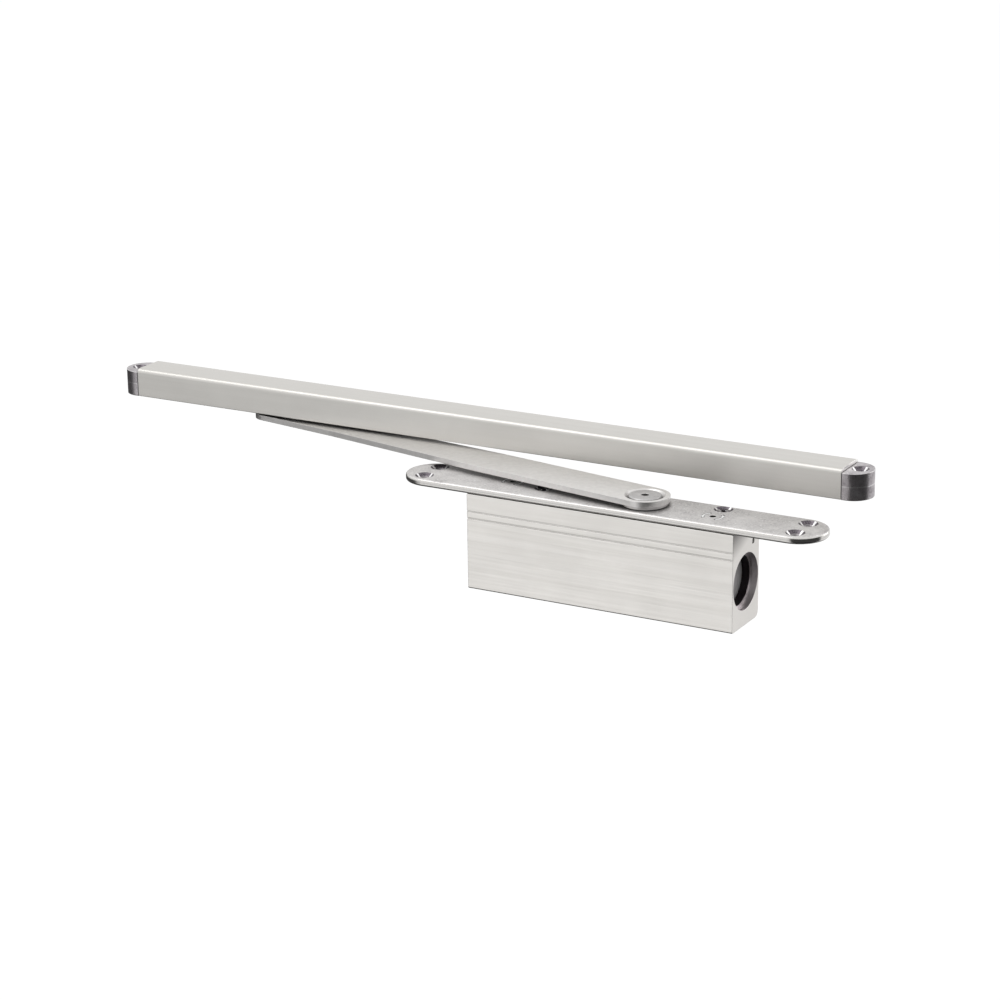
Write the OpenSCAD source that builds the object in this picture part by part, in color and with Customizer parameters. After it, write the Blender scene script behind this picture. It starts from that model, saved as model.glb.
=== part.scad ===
// Concealed door closer with a cam drive, a sliding arm and its slide rail.
// Origin: middle of the mounting plate's four screw holes, on the plate's seat face.
// X runs along the body towards the door's hinge side, Y across the door leaf, Z up.
// The pose is the photographed one: the arm is turned a little out of its closed line.

/* [Body] */
// Length of the closer body
body_l = 155; // [150:1:180]
// Width of the closer body, across the door leaf
body_w = 32; // [31.6:0.2:36]
// Height of the closer body below the mounting plate
body_h = 53; // [52:0.5:60]
// Rounding of the body's front lower edge
front_edge_r = 1; // [0.4:0.1:1.5]
// Rounding of the body's rear lower edge
rear_edge_r = 3.5; // [2:0.5:5]
// Height of the upper groove above the bottom of the body
groove_height = 43.35; // [38:0.05:47]
// Distance between the two grooves on the front face
groove_pitch = 3.85; // [2.5:0.05:6]
// Width of a groove
groove_w = 0.9; // [0.4:0.1:1.4]
// Depth of a groove
groove_depth = 0.45; // [0.2:0.05:0.7]

/* [Cylinder] */
// Bore of the oil cylinder
bore_d = 27; // [26:0.25:27.5]
// Height of the bore's axis above the bottom of the body
bore_height = 23.7; // [22.5:0.1:26]
// Wall left at each side of the relief at the bore's mouth
mouth_wall = 0.8; // [0.4:0.1:1.5]
// Depth of the relief at the bore's mouth
mouth_depth = 4; // [2:0.2:6]
// Distance from the end of the body to the face of an end plug
plug_recess = 8.3; // [7:0.1:9.5]
// Thickness of an end plug
plug_t = 6; // [5:0.25:6.5]

/* [Mounting plate] */
// Length of the mounting plate
plate_l = 244; // [236:1:270]
// Width of the mounting plate
plate_w = 32; // [30:0.5:36]
// Thickness of the mounting plate
plate_t = 4; // [3.5:0.1:5]
// Rounding of the plate's edges
plate_edge_r = 1.4; // [0.6:0.1:1.6]
// Distance between the wood screw holes along the plate
hole_spacing_l = 216; // [190:1:218]
// Distance between the wood screw holes across the plate
hole_spacing_w = 16.5; // [14:0.25:18]
// Diameter of a wood screw hole
hole_d = 5.2; // [4.5:0.1:5.5]
// Diameter of a wood screw hole's countersink
countersink_d = 10; // [9:0.2:10.6]
// Diameter of the key holes above the valves
key_hole_d = 3.4; // [2.6:0.2:4]

/* [Spindle and cam] */
// Distance from the spindle's axis to the hinge end of the body
spindle_from_end = 57.5; // [57.5:0.25:60]
// Diameter of the spindle in the upper bearing
spindle_d = 16; // [15:0.5:16.5]
// Diameter of the spindle inside the cylinder
neck_d = 12; // [10.5:0.5:12]
// Height of the cam and its rollers
cam_t = 10; // [8:0.5:11]
// Distance from the spindle to a roller in the cam's closed notch
cam_base = 10.5; // [10.5:0.1:10.7]
// Rise of the cam for each radian of turn
cam_rise = 2.6; // [2.3:0.05:2.65]
// Diameter of a cam roller
roller_d = 12; // [11.6:0.1:12.4]
// Diameter of a roller pin
roller_pin_d = 5; // [4:0.25:5.5]
// Turn of the arm from its closed line, as photographed
rest_angle = 9.83; // [0:0.01:20]

/* [Pistons and springs] */
// Length of the spring piston behind its roller
spring_piston_l = 23; // [18:0.5:26]
// Length of the damping piston behind its roller
damping_piston_l = 19; // [18.5:0.25:19.5]
// Length of a piston's fork past its roller
fork_nose = 4; // [3.6:0.1:4.1]
// Wire of the outer closing spring
outer_wire_d = 3.8; // [3:0.1:4.4]
// Turns of the outer closing spring
outer_turns = 5; // [4:0.5:6]
// Wire of the inner closing spring
inner_wire_d = 2.4; // [1.6:0.1:2.8]
// Turns of the inner closing spring
inner_turns = 7; // [5:0.5:9]
// Wire of the damping piston's return spring
return_wire_d = 1.2; // [0.8:0.1:1.4]
// Turns of the damping piston's return spring
return_turns = 4; // [3:0.5:5]
// Thickness of the spring's pressure plate
pressure_plate_t = 5; // [4:0.5:7]
// Diameter of the adjusting screw
adjuster_d = 8; // [6:0.5:8.5]

/* [Valves] */
// Distance from an end of the body to the valve there
valve_from_end = 17.5; // [16.5:0.1:18.2]
// Distance of each valve from the middle plane
valve_y = 3; // [2:0.1:4]
// Diameter of a valve screw
valve_d = 6.8; // [6:0.1:7.4]
// Depth of the oil channels below the seat face
channel_depth = 10; // [9.8:0.1:10.6]
// Diameter of an oil channel
channel_d = 3; // [2:0.1:3]

/* [Arm] */
// Distance from the spindle to the slider's pin
arm_l = 263.5; // [225:0.5:290]
// Thickness of the arm
arm_t = 3; // [2.5:0.1:4.5]
// Radius of the arm's hub end
hub_r = 13.2; // [12.6:0.1:15]
// Distance from the spindle at which the arm starts to narrow
taper_start = 105; // [40:1:150]
// Distance from the spindle at which the arm has its narrow width
taper_end = 212; // [170:1:220]
// Radius of the arm's slider end
arm_end_r = 10; // [8.5:0.1:10]
// Distance from the slider's pin to the centre of the arm's round end
arm_end_past = 1.2; // [0:0.1:2]
// Gap between the plate and the arm
arm_gap = 2; // [1.2:0.1:3]
// Diameter of the axle screw's head
axle_head_d = 17.4; // [15:0.2:18]
// Diameter of the recess round the axle screw's head
hub_recess_d = 21.4; // [20:0.2:22]

/* [Slide rail] */
// Length of the rail profile between its end caps
rail_l = 442; // [380:2:500]
// Width of the rail
rail_w = 22.5; // [21:0.25:26]
// Height of the rail
rail_h = 16.4; // [15:0.2:20]
// Side wall of the rail
rail_wall = 1.8; // [1.4:0.1:2.2]
// Top wall of the rail
rail_top = 2; // [1.6:0.1:2.4]
// Thickness of the lips under the rail
lip_t = 2; // [1.5:0.1:2.4]
// Width of the slot between the lips
slot_w = 11.6; // [11.4:0.2:13]
// Rounding of the rail's upper edges
rail_edge_r = 2.5; // [1.5:0.1:3]
// Gap between the arm and the rail
rail_gap = 1.2; // [0.8:0.1:2.5]
// Distance from the rail's latch end to the slider's pin, as photographed
slider_from_end = 87.66; // [40:0.02:200]
// Straight stretch of an end cap before its round end
cap_straight = 2; // [0.5:0.25:6]
// Length of an end cap's tongue inside the rail
tongue_l = 8; // [5:0.5:12]
// Distance from the end of the rail to an end cap's screw hole
cap_hole_s = 6; // [5:0.25:7]
// Diameter of an end cap's screw hole
cap_hole_d = 5; // [4:0.1:5.2]
// Length of the slide block
block_l = 40; // [24:1:60]
// Diameter of the slider's pin
slider_pin_d = 8; // [6:0.25:8]

/* [Hidden] */

// Smoothness of round shapes
$fn = 96;
// How far a cutting shape runs past the face that it cuts
past = 1;
// Radial clearance of a seated or threaded piece
seat = 0.05;
// Radial clearance of a turning or sliding piece
run = 0.05;
// Clearance between moving pieces that have no fit
free = 0.3;
// Depth of the key sockets
socket_depth = 2.5;

// Places along the body
spindle_x = body_l / 2 - spindle_from_end;
bore_z = bore_height - body_h;
bore_r = bore_d / 2;
plug_face_x = body_l / 2 - plug_recess;
plug_inner_x = plug_face_x - plug_t;
valve_x = body_l / 2 - valve_from_end;

// Spindle, bearings and cam
spindle_r = spindle_d / 2;
neck_r = neck_d / 2;
needle_d = 1.9;
needle_play = 0.05;
cup_wall = 1;
seal_t = 3;
cap_skirt = 2.2;
cap_lip_t = 1;
upper_cup_r = spindle_r + needle_d + 2 * needle_play + cup_wall;
lower_cup_r = neck_r + needle_d + 2 * needle_play + cup_wall;
cap_r = upper_cup_r + cap_skirt;
opening_r = cap_r + seat;
cap_above_bore = 1;
cap_bottom = bore_z + bore_r + cap_above_bore;
cup_bottom = cap_bottom + cap_lip_t;
seal_bottom = -seal_t - 2 * seat;
upper_cup_h = seal_bottom - cup_bottom - seat;
collar_t = 0.6;
collar_step = 1;
collar_r = spindle_r + collar_step;
thrust_gap = 0.1;
thrust_overlap = 0.2;
lower_floor = 2;
lower_cup_drop = 0.2;
lower_cup_h = bore_height - bore_r - lower_floor - lower_cup_drop;
lower_cup_z = lower_floor - body_h;
bearing_end = 0.3;
upper_needles = 24;
lower_needles = 18;
cam_gap = 0.2;
cam_steps = 40;
notch_steps = 8;
cam_end_steps = 6;
roller_r = roller_d / 2;
roller_pin_r = roller_pin_d / 2;
roller_side = 0.2;
roller_t = cam_t - 2 * roller_side;

// Turns an angle in degrees into radians
function radians(a) = a * PI / 180;

// Distance from the spindle to a roller's axis, at a turn from the cam's notch
function cam_pitch(a) = cam_base + cam_rise * radians(a);

spring_roller_x = spindle_x - cam_pitch(rest_angle);
damping_roller_x = spindle_x + cam_pitch(180 - rest_angle);
spring_piston_back = spring_roller_x - spring_piston_l;
damping_piston_back = damping_roller_x + damping_piston_l;
piston_r = bore_r - run;
slot_side = free;
fork_floor_gap = 0.5;
fork_depth = roller_r + fork_floor_gap;
pin_sink = 3;
pin_reach = bore_r - pin_sink;

// Check valves in the pistons
ball_r = 1.75;
ball_travel = 0.8;
ball_wall = 0.55;
ball_seat = 0.02;
retainer_t = 1;
retainer_r = 3.2;
retainer_slot_w = 1;
seat_hole_r = 1.2;
check_chamber_r = ball_r + ball_wall;
check_chamber_l = 2 * ball_r + ball_seat + ball_travel;

// Spring pocket and seal of the damping piston, spring guide of the spring piston
pocket_depth = 6;
pocket_r = 9;
pocket_x = damping_piston_back - pocket_depth;
guide_l = 6;
guide_r = 4.5;
seal_groove_w = 2;
seal_groove_depth = 1.3;
seal_land = 2;
seal_groove_x = damping_piston_back - seal_land - seal_groove_w;

// Springs
outer_coil_gap = 0.8;
inner_coil_gap = 0.9;
return_coil_gap = 1;
outer_coil_r = bore_r - outer_coil_gap - outer_wire_d / 2;
inner_coil_r = adjuster_d / 2 + inner_coil_gap + inner_wire_d / 2;
return_coil_r = pocket_r - return_coil_gap - return_wire_d / 2;
spring_seat = 0.1;
coil_sides = 6;
coil_rings = 8;

// Spring adjuster
adjuster_r = adjuster_d / 2;
adjuster_collar_step = 2;
adjuster_collar_r = adjuster_r + adjuster_collar_step;
adjuster_collar_t = 2;
pressure_plate_gap = 3.7;
pressure_plate_x = -plug_inner_x + adjuster_collar_t + pressure_plate_gap;
pressure_plate_r = bore_r - free;
adjuster_travel = 8;
adjuster_reach = 1;
adjuster_end_x = pressure_plate_x + pressure_plate_t + adjuster_travel + adjuster_reach;
adjuster_seal_x = -plug_inner_x - plug_t / 2;
adjuster_seal_wire = 0.8;
spanner_hole_d = 3;
spanner_hole_r = 8.6;
spanner_depth = 3;

// End plug seals
plug_seal_r = 0.95;
plug_groove_r = bore_r - 2 * plug_seal_r - 2 * seat;
plug_seal_play = 0.4;
plug_groove_w = 2 * plug_seal_r + plug_seal_play;
plug_seal_x = plug_inner_x + plug_t / 2;

// Valves and oil channels
valve_r = valve_d / 2;
valve_play = 0.08;
valve_hole_r = valve_r + valve_play;
valve_top = -2;
valve_thread_l = 4.4;
valve_groove_w = 1.3;
valve_groove_depth = 0.95;
valve_land = 0.5;
valve_hole_bottom = -12.4;
needle_r = 1.3;
needle_reach = 0.8;
needle_tip = valve_hole_bottom - needle_reach;
valve_seal_wire = 0.42;
needle_gap = 0.1;
passage_r = needle_r + needle_gap;
valve_key = 3;
channel_r = channel_d / 2;
channel_y = 8.7;
channel_plug_l = 4;
channel_plug_sink = 0.6;
return_drop = 0.5;

// Plate screws
plate_screw_r = 2.5;
plate_screw_sink = 0.9;
plate_screw_l = 6.5;
plate_screw_head_r = countersink_d / 2 - plate_screw_sink - seat;
plate_screw_key = 3;
plate_screw_y = 10;
plate_screw_x = 39.5;
plate_screw_places = [[valve_x, plate_screw_y], [-plate_screw_x, 0]];
hole_r = hole_d / 2;

// Arm and hub
arm_bottom = plate_t + arm_gap;
arm_top = arm_bottom + arm_t;
hub_boss_step = 1;
hub_boss_r = hub_r - hub_boss_step;
hub_clear = 0.35;
hub_bottom = plate_t + hub_clear;
drive_af = 11;
drive_rise = 0.4;
drive_bottom = hub_bottom + drive_rise;
axle_head_t = 2;
axle_head_bottom = arm_top - axle_head_t;
axle_shank_r = 3;
axle_shank_l = 14;
axle_key = 4;
axle_edge = 0.4;
arm_angle = 180 - rest_angle;
slider_x = spindle_x + arm_l * cos(arm_angle);
slider_y = arm_l * sin(arm_angle);

// Rail, slide block and pin
rail_bottom = arm_top + rail_gap;
rail_top_z = rail_bottom + rail_h;
channel_floor = rail_bottom + lip_t;
channel_top = rail_top_z - rail_top;
channel_w = rail_w - 2 * rail_wall;
rail_foot_r = 0.4;
block_w = channel_w - 2 * free;
block_bottom = channel_floor + free;
block_top = channel_top - free;
block_corner_r = 3;
block_neck_r = slot_w / 2 - free;
block_pocket_depth = 3;
slider_pin_r = slider_pin_d / 2;
slider_head_step = 2;
slider_head_r = slider_pin_r + slider_head_step;
slider_head_t = 1.5;
ring_t = 0.9;
ring_step = 2;
ring_r = slider_pin_r + ring_step;
ring_groove_depth = 0.5;
ring_lift = 0.2;
ring_bottom = block_top - block_pocket_depth + ring_lift;
pin_sink_top = 0.6;
pin_top = block_top - pin_sink_top;
pocket_room = 0.5;
block_pocket_r = ring_r + pocket_room;
cap_seam = 0.25;
cap_round_r = rail_w / 2;
cap_countersink_rim = 2;
cap_countersink_d = cap_hole_d + 2 * cap_countersink_rim;
tongue_gap = 0.1;
rail_start = -slider_from_end;
rail_end = rail_l - slider_from_end;

// A ring round the Z axis, standing on z = 0
module ring(outer_r, inner_r, h) {
    difference() {
        cylinder(r = outer_r, h = h);
        translate([0, 0, -past]) cylinder(r = inner_r, h = h + 2 * past);
    }
}

// Lays a shape that stands along Z down along X, on the bore's axis, starting at x
module along_bore(x) {
    translate([x, 0, bore_z]) rotate([0, 90, 0]) children();
}

// A straight cylinder along X on the bore's axis
module bore_cylinder(x1, x2, r) {
    along_bore(x1) cylinder(r = r, h = x2 - x1);
}

// A cylinder along X through y, z
module cylinder_x(x1, x2, y, z, r) {
    translate([x1, y, z]) rotate([0, 90, 0]) cylinder(r = r, h = x2 - x1);
}

// A round seal ring: a circle of the wire's radius swept round the Z axis
module seal_ring(centre_r, wire_r) {
    rotate_extrude() translate([centre_r, 0]) circle(r = wire_r, $fn = 32);
}

// A key socket with six sides, open upwards at z = 0
module key_socket(across_flats, depth) {
    translate([0, 0, -depth]) cylinder(d = across_flats / cos(30), h = depth + past, $fn = 6);
}

// Removes the corner outside a rounding of radius r, with the material towards +x and +y
module corner_cut(r) {
    difference() {
        translate([-past, -past]) square(r + past);
        translate([r, r]) circle(r = r);
    }
}

// One point of the cam's flank: the roller's circle, moved back along the pitch curve's normal
function cam_point(a) =
    let (
        r = cam_pitch(a),
        n = sqrt(r * r + cam_rise * cam_rise),
        follower = roller_r + cam_gap
    )
    [
        r * cos(a) - follower * (r * cos(a) + cam_rise * sin(a)) / n,
        r * sin(a) - follower * (r * sin(a) - cam_rise * cos(a)) / n
    ];

// The turn at which the cam's two flanks meet opposite the notch, by repeated steps towards it
function cam_end(steps = cam_end_steps, a = 180) =
    steps == 0 ? a :
    let (
        r = cam_pitch(a),
        n = sqrt(r * r + cam_rise * cam_rise),
        follower = roller_r + cam_gap
    )
    cam_end(steps - 1, 180 - atan(follower * cam_rise / (r * (n - follower))));

// One flank of the cam, from the notch to the lobe
function cam_flank() = [for (i = [0 : cam_steps]) cam_point(cam_end() * i / cam_steps)];

// The same points on the other side, from past the lobe back to the notch
function flank_mirrored(flank) = [for (i = [len(flank) - 2 : -1 : 0]) [flank[i].x, -flank[i].y]];

// The notch between the flanks: a roller's circle round its place in the notch
function cam_notch() =
    let (lean = atan(cam_rise / cam_base))
    [
        for (i = [1 : notch_steps - 1])
        let (a = 180 + lean - 2 * lean * i / notch_steps)
        [cam_base + (roller_r + cam_gap) * cos(a), (roller_r + cam_gap) * sin(a)]
    ];

// Heart cam about the Z axis, with its notch towards +x
module cam_plan() {
    flank = cam_flank();
    polygon(concat(flank, flank_mirrored(flank), cam_notch()));
}

// Ring i of a wire coil along X: points round the wire, square to the helix
function coil_ring(i, coil_r, wire_r, pitch) =
    let (
        a = i * 360 / coil_rings,
        lead = pitch / (2 * PI),
        n = sqrt(lead * lead + coil_r * coil_r)
    )
    [
        for (k = [0 : coil_sides - 1])
        let (
            s = k * 360 / coil_sides,
            u = wire_r * cos(s),
            v = wire_r * sin(s)
        )
        [
            lead * radians(a) - v * coil_r / n,
            (coil_r + u) * cos(a) - v * lead / n * sin(a),
            (coil_r + u) * sin(a) + v * lead / n * cos(a)
        ]
    ];

// Centres of the wire at each ring
function coil_centres(rings, coil_r, pitch) = [
    for (i = [0 : rings])
    let (a = i * 360 / coil_rings)
    [pitch * a / 360, coil_r * cos(a), coil_r * sin(a)]
];

// Least gap between turns, over rings that lie more than half a turn apart
function coil_gap(centres, wire_r) = min([
    for (i = [0 : len(centres) - 1])
    for (j = [i + coil_rings / 2 + 1 : min(i + 2 * coil_rings, len(centres) - 1)])
    norm(centres[i] - centres[j]) - 2 * wire_r
]);

// One unbroken wire coil along X between two seats, on the bore's axis
module coil(name, x1, x2, coil_r, wire_r, turns) {
    rings = round(turns * coil_rings);
    span = x2 - x1 - 2 * wire_r - 2 * spring_seat;
    pitch = span * coil_rings / rings;
    points = [for (i = [0 : rings]) each coil_ring(i, coil_r, wire_r, pitch)];
    sides = [
        for (i = [0 : rings - 1])
        for (k = [0 : coil_sides - 1])
        let (
            a = i * coil_sides + k,
            b = i * coil_sides + (k + 1) % coil_sides,
            c = a + coil_sides,
            d = b + coil_sides
        )
        each [[a, b, d], [a, d, c]]
    ];
    last = rings * coil_sides;
    start_cap = [for (k = [1 : coil_sides - 2]) [0, k + 1, k]];
    end_cap = [for (k = [1 : coil_sides - 2]) [last, last + k, last + k + 1]];
    gap = coil_gap(coil_centres(rings, coil_r, pitch), wire_r);
    echo(str(name, ": least gap between turns ", gap, " mm"));
    translate([x1 + wire_r + spring_seat, 0, bore_z])
        polyhedron(points = points, faces = concat(sides, start_cap, end_cap));
}

// Outline of the body's cross-section, with its two front grooves
module body_section() {
    difference() {
        translate([-body_w / 2, -body_h]) square([body_w, body_h]);
        translate([-body_w / 2, -body_h]) corner_cut(front_edge_r);
        translate([body_w / 2, -body_h]) mirror([1, 0]) corner_cut(rear_edge_r);
        for (down = [0, groove_pitch])
            translate([-body_w / 2 - past, groove_height - down - groove_w / 2 - body_h])
                square([groove_depth + past, groove_w]);
    }
}

// One valve's hole with its oil channels, for the side of the body that side names
module valve_drilling(side) {
    turn_back = side * valve_x;
    seat_x = spindle_x + side * (opening_r + return_drop);
    translate([turn_back, -side * valve_y, valve_hole_bottom])
        cylinder(r = valve_hole_r, h = past - valve_hole_bottom);
    translate([turn_back, -side * valve_y, bore_z])
        cylinder(r = passage_r, h = valve_hole_bottom - bore_z + past);
    translate([turn_back, -side * valve_y, -channel_depth])
        rotate([-90, 0, 0])
            cylinder(r = channel_r, h = body_w / 2 + past + side * valve_y);
    cylinder_x(min(seat_x, side * (body_l / 2 + past)), max(seat_x, side * (body_l / 2 + past)),
        channel_y, -channel_depth, channel_r);
    translate([seat_x, channel_y, bore_z])
        cylinder(r = channel_r, h = -channel_depth - bore_z);
}

module housing() {
    color([0.84, 0.83, 0.81])
    difference() {
        translate([-body_l / 2, 0, 0]) rotate([90, 0, 90]) linear_extrude(body_l) body_section();
        bore_cylinder(-body_l / 2 - past, body_l / 2 + past, bore_r);
        for (side = [0, 180])
            rotate(side)
                bore_cylinder(body_l / 2 - mouth_depth, body_l / 2 + past, body_w / 2 - mouth_wall);
        translate([spindle_x, 0, bore_z]) cylinder(r = opening_r, h = past - bore_z);
        translate([spindle_x, 0, lower_cup_z])
            cylinder(r = lower_cup_r + seat, h = bore_z - lower_cup_z);
        for (side = [-1, 1]) valve_drilling(side);
        for (place = plate_screw_places)
            translate([place.x, place.y, -plate_screw_l - past])
                cylinder(r = plate_screw_r + seat, h = plate_screw_l + 2 * past);
    }
}

// Half of the plate's cross-section, rounded along its outer edge
module plate_section(half_w) {
    difference() {
        square([half_w, plate_t]);
        translate([half_w, 0]) mirror([1, 0]) corner_cut(plate_edge_r);
        translate([half_w, plate_t]) rotate(180) corner_cut(plate_edge_r);
    }
}

// Plain plate with round ends, before its holes
module plate_blank() {
    half = plate_w / 2;
    straight = plate_l - plate_w;
    translate([-straight / 2, 0, 0])
        rotate([90, 0, 90])
            linear_extrude(straight) {
                plate_section(half);
                mirror([1, 0]) plate_section(half);
            }
    for (side = [-1, 1])
        translate([side * straight / 2, 0, 0]) rotate_extrude() plate_section(half);
}

// A screw hole with a right-angled countersink that opens upwards at the plate's top
module countersunk_hole(hole_radius, head_r, top) {
    cone = head_r - hole_radius;
    translate([0, 0, -past]) cylinder(r = hole_radius, h = top + 2 * past);
    translate([0, 0, top - cone]) cylinder(r1 = hole_radius, r2 = head_r + past, h = cone + past);
}

module mounting_plate() {
    color([0.7, 0.7, 0.69])
    difference() {
        plate_blank();
        for (x = [-1, 1])
            for (y = [-1, 1])
                translate([x * hole_spacing_l / 2, y * hole_spacing_w / 2, 0])
                    countersunk_hole(hole_r, countersink_d / 2, plate_t);
        for (place = plate_screw_places)
            translate([place.x, place.y, 0])
                countersunk_hole(hole_r, countersink_d / 2, plate_t);
        for (side = [-1, 1])
            translate([side * valve_x, -side * valve_y, -past])
                cylinder(d = key_hole_d, h = plate_t + 2 * past);
        translate([spindle_x, 0, -past]) cylinder(r = spindle_r + free, h = plate_t + 2 * past);
    }
}

module plate_screws() {
    color([0.62, 0.62, 0.63])
    for (place = plate_screw_places)
        translate([place.x, place.y, 0])
            difference() {
                head_top = plate_t - plate_screw_sink;
                cone = plate_screw_head_r - plate_screw_r;
                union() {
                    translate([0, 0, -plate_screw_l])
                        cylinder(r = plate_screw_r, h = plate_screw_l + head_top - cone);
                    translate([0, 0, head_top - cone])
                        cylinder(r1 = plate_screw_r, r2 = plate_screw_head_r, h = cone);
                }
                translate([0, 0, head_top]) key_socket(plate_screw_key, socket_depth);
            }
}

module bearing_cap() {
    color([0.72, 0.72, 0.74])
    translate([spindle_x, 0, cap_bottom])
        difference() {
            cylinder(r = cap_r, h = -cap_bottom - seat);
            translate([0, 0, -past]) cylinder(r = collar_r - thrust_overlap, h = -cap_bottom + 2 * past);
            translate([0, 0, cap_lip_t]) cylinder(r = upper_cup_r + seat, h = -cap_bottom);
        }
}

module shaft_seal() {
    color([0.12, 0.12, 0.13])
    translate([spindle_x, 0, seal_bottom]) ring(upper_cup_r, spindle_r + run, seal_t);
}

module upper_bearing_cup() {
    color([0.75, 0.75, 0.77])
    translate([spindle_x, 0, cup_bottom]) ring(upper_cup_r, upper_cup_r - cup_wall, upper_cup_h);
}

// A ring of bearing needles round a shaft of radius shaft_r
module needles(count, shaft_r, h) {
    for (i = [0 : count - 1])
        rotate(i * 360 / count)
            translate([shaft_r + needle_play + needle_d / 2, 0, 0]) cylinder(d = needle_d, h = h);
}

module upper_bearing_needles() {
    color([0.8, 0.8, 0.82])
    translate([spindle_x, 0, cup_bottom + bearing_end])
        needles(upper_needles, spindle_r, upper_cup_h - 2 * bearing_end);
}

module lower_bearing_cup() {
    color([0.75, 0.75, 0.77])
    translate([spindle_x, 0, lower_cup_z]) ring(lower_cup_r, lower_cup_r - cup_wall, lower_cup_h);
}

module lower_bearing_needles() {
    color([0.8, 0.8, 0.82])
    translate([spindle_x, 0, lower_cup_z + bearing_end])
        needles(lower_needles, neck_r, lower_cup_h - 2 * bearing_end);
}

module cam_spindle() {
    shaft_foot = lower_cup_z + bearing_end;
    collar_bottom = cap_bottom - collar_t - thrust_gap;
    color([0.66, 0.66, 0.68])
    translate([spindle_x, 0, 0])
        rotate(arm_angle)
            difference() {
                union() {
                    translate([0, 0, shaft_foot])
                        cylinder(r = neck_r, h = bore_z - cam_t / 2 - shaft_foot);
                    translate([0, 0, bore_z - cam_t / 2]) linear_extrude(cam_t) cam_plan();
                    translate([0, 0, bore_z + cam_t / 2])
                        cylinder(r = neck_r, h = collar_bottom - bore_z - cam_t / 2);
                    translate([0, 0, collar_bottom]) cylinder(r = collar_r, h = collar_t);
                    translate([0, 0, collar_bottom + collar_t])
                        cylinder(r = spindle_r, h = drive_bottom - collar_bottom - collar_t);
                    translate([-drive_af / 2, -drive_af / 2, drive_bottom - seat])
                        cube([drive_af, drive_af, axle_head_bottom - drive_bottom]);
                }
                translate([0, 0, axle_head_bottom - axle_shank_l - past])
                    cylinder(r = axle_shank_r + seat, h = axle_shank_l + 2 * past);
            }
}

// Plan of the arm along x: straight from the hub, narrowing, straight to the slider's end
module arm_plan() {
    edge = [
        [0, hub_r],
        [taper_start, hub_r],
        [taper_end, arm_end_r],
        [arm_l + arm_end_past, arm_end_r]
    ];
    circle(r = hub_r);
    translate([arm_l + arm_end_past, 0]) circle(r = arm_end_r);
    polygon(concat(edge, [for (i = [len(edge) - 1 : -1 : 0]) [edge[i].x, -edge[i].y]]));
}

module arm() {
    color([0.74, 0.73, 0.71])
    translate([spindle_x, 0, 0])
        rotate(arm_angle)
            difference() {
                union() {
                    translate([0, 0, arm_bottom]) linear_extrude(arm_t) arm_plan();
                    translate([0, 0, hub_bottom])
                        cylinder(r = hub_boss_r, h = arm_bottom - hub_bottom + arm_t / 2);
                }
                translate([0, 0, axle_head_bottom])
                    cylinder(r1 = axle_head_d / 2 + seat, r2 = hub_recess_d / 2, h = axle_head_t);
                translate([0, 0, arm_top]) cylinder(r = hub_recess_d / 2, h = past);
                translate([-drive_af / 2 - seat, -drive_af / 2 - seat, hub_bottom - past])
                    cube([
                        drive_af + 2 * seat,
                        drive_af + 2 * seat,
                        axle_head_bottom - hub_bottom + 2 * past
                    ]);
                translate([0, 0, hub_bottom - past])
                    cylinder(r = spindle_r + seat, h = drive_bottom + seat - hub_bottom + past);
                translate([arm_l, 0, arm_bottom - past])
                    cylinder(r = slider_pin_r + seat, h = arm_t + 2 * past);
                translate([arm_l, 0, arm_bottom - past])
                    cylinder(r = slider_head_r + seat, h = slider_head_t + past);
            }
}

module axle_screw() {
    color([0.7, 0.69, 0.68])
    translate([spindle_x, 0, 0])
        rotate(arm_angle)
            difference() {
                union() {
                    translate([0, 0, axle_head_bottom + seat])
                        cylinder(r = axle_head_d / 2, h = axle_head_t - axle_edge - seat);
                    translate([0, 0, arm_top - axle_edge])
                        cylinder(r1 = axle_head_d / 2, r2 = axle_head_d / 2 - axle_edge, h = axle_edge);
                    translate([0, 0, axle_head_bottom - axle_shank_l])
                        cylinder(r = axle_shank_r, h = axle_shank_l + axle_head_t / 2);
                }
                translate([0, 0, arm_top]) key_socket(axle_key, socket_depth);
            }
}

// Places what follows at the slider's pin, turned with the arm
module at_slider_pin() {
    translate([slider_x, slider_y, 0]) rotate(arm_angle) children();
}

module slider_pin() {
    color([0.7, 0.7, 0.72])
    at_slider_pin()
        difference() {
            union() {
                translate([0, 0, arm_bottom]) cylinder(r = slider_head_r, h = slider_head_t - seat);
                translate([0, 0, arm_bottom]) cylinder(r = slider_pin_r, h = pin_top - arm_bottom);
            }
            translate([0, 0, ring_bottom - seat])
                ring(slider_pin_r + past, slider_pin_r - ring_groove_depth, ring_t + 2 * seat);
        }
}

module retaining_ring() {
    color([0.35, 0.35, 0.37])
    at_slider_pin()
        translate([0, 0, ring_bottom])
            difference() {
                ring(ring_r, slider_pin_r - ring_groove_depth + seat, ring_t);
                translate([0, -slider_pin_r / 2, -past])
                    cube([ring_r + past, slider_pin_r, ring_t + 2 * past]);
            }
}

// Places what follows on the rail's line, with the slider's pin at its origin
module on_rail() {
    translate([slider_x, slider_y, 0]) children();
}

// Plan of the slide block, with rounded corners
module block_plan() {
    difference() {
        translate([-block_l / 2, -block_w / 2]) square([block_l, block_w]);
        for (turn = [0, 180])
            rotate(turn) {
                translate([-block_l / 2, -block_w / 2]) corner_cut(block_corner_r);
                translate([block_l / 2, -block_w / 2]) mirror([1, 0]) corner_cut(block_corner_r);
            }
    }
}

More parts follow.
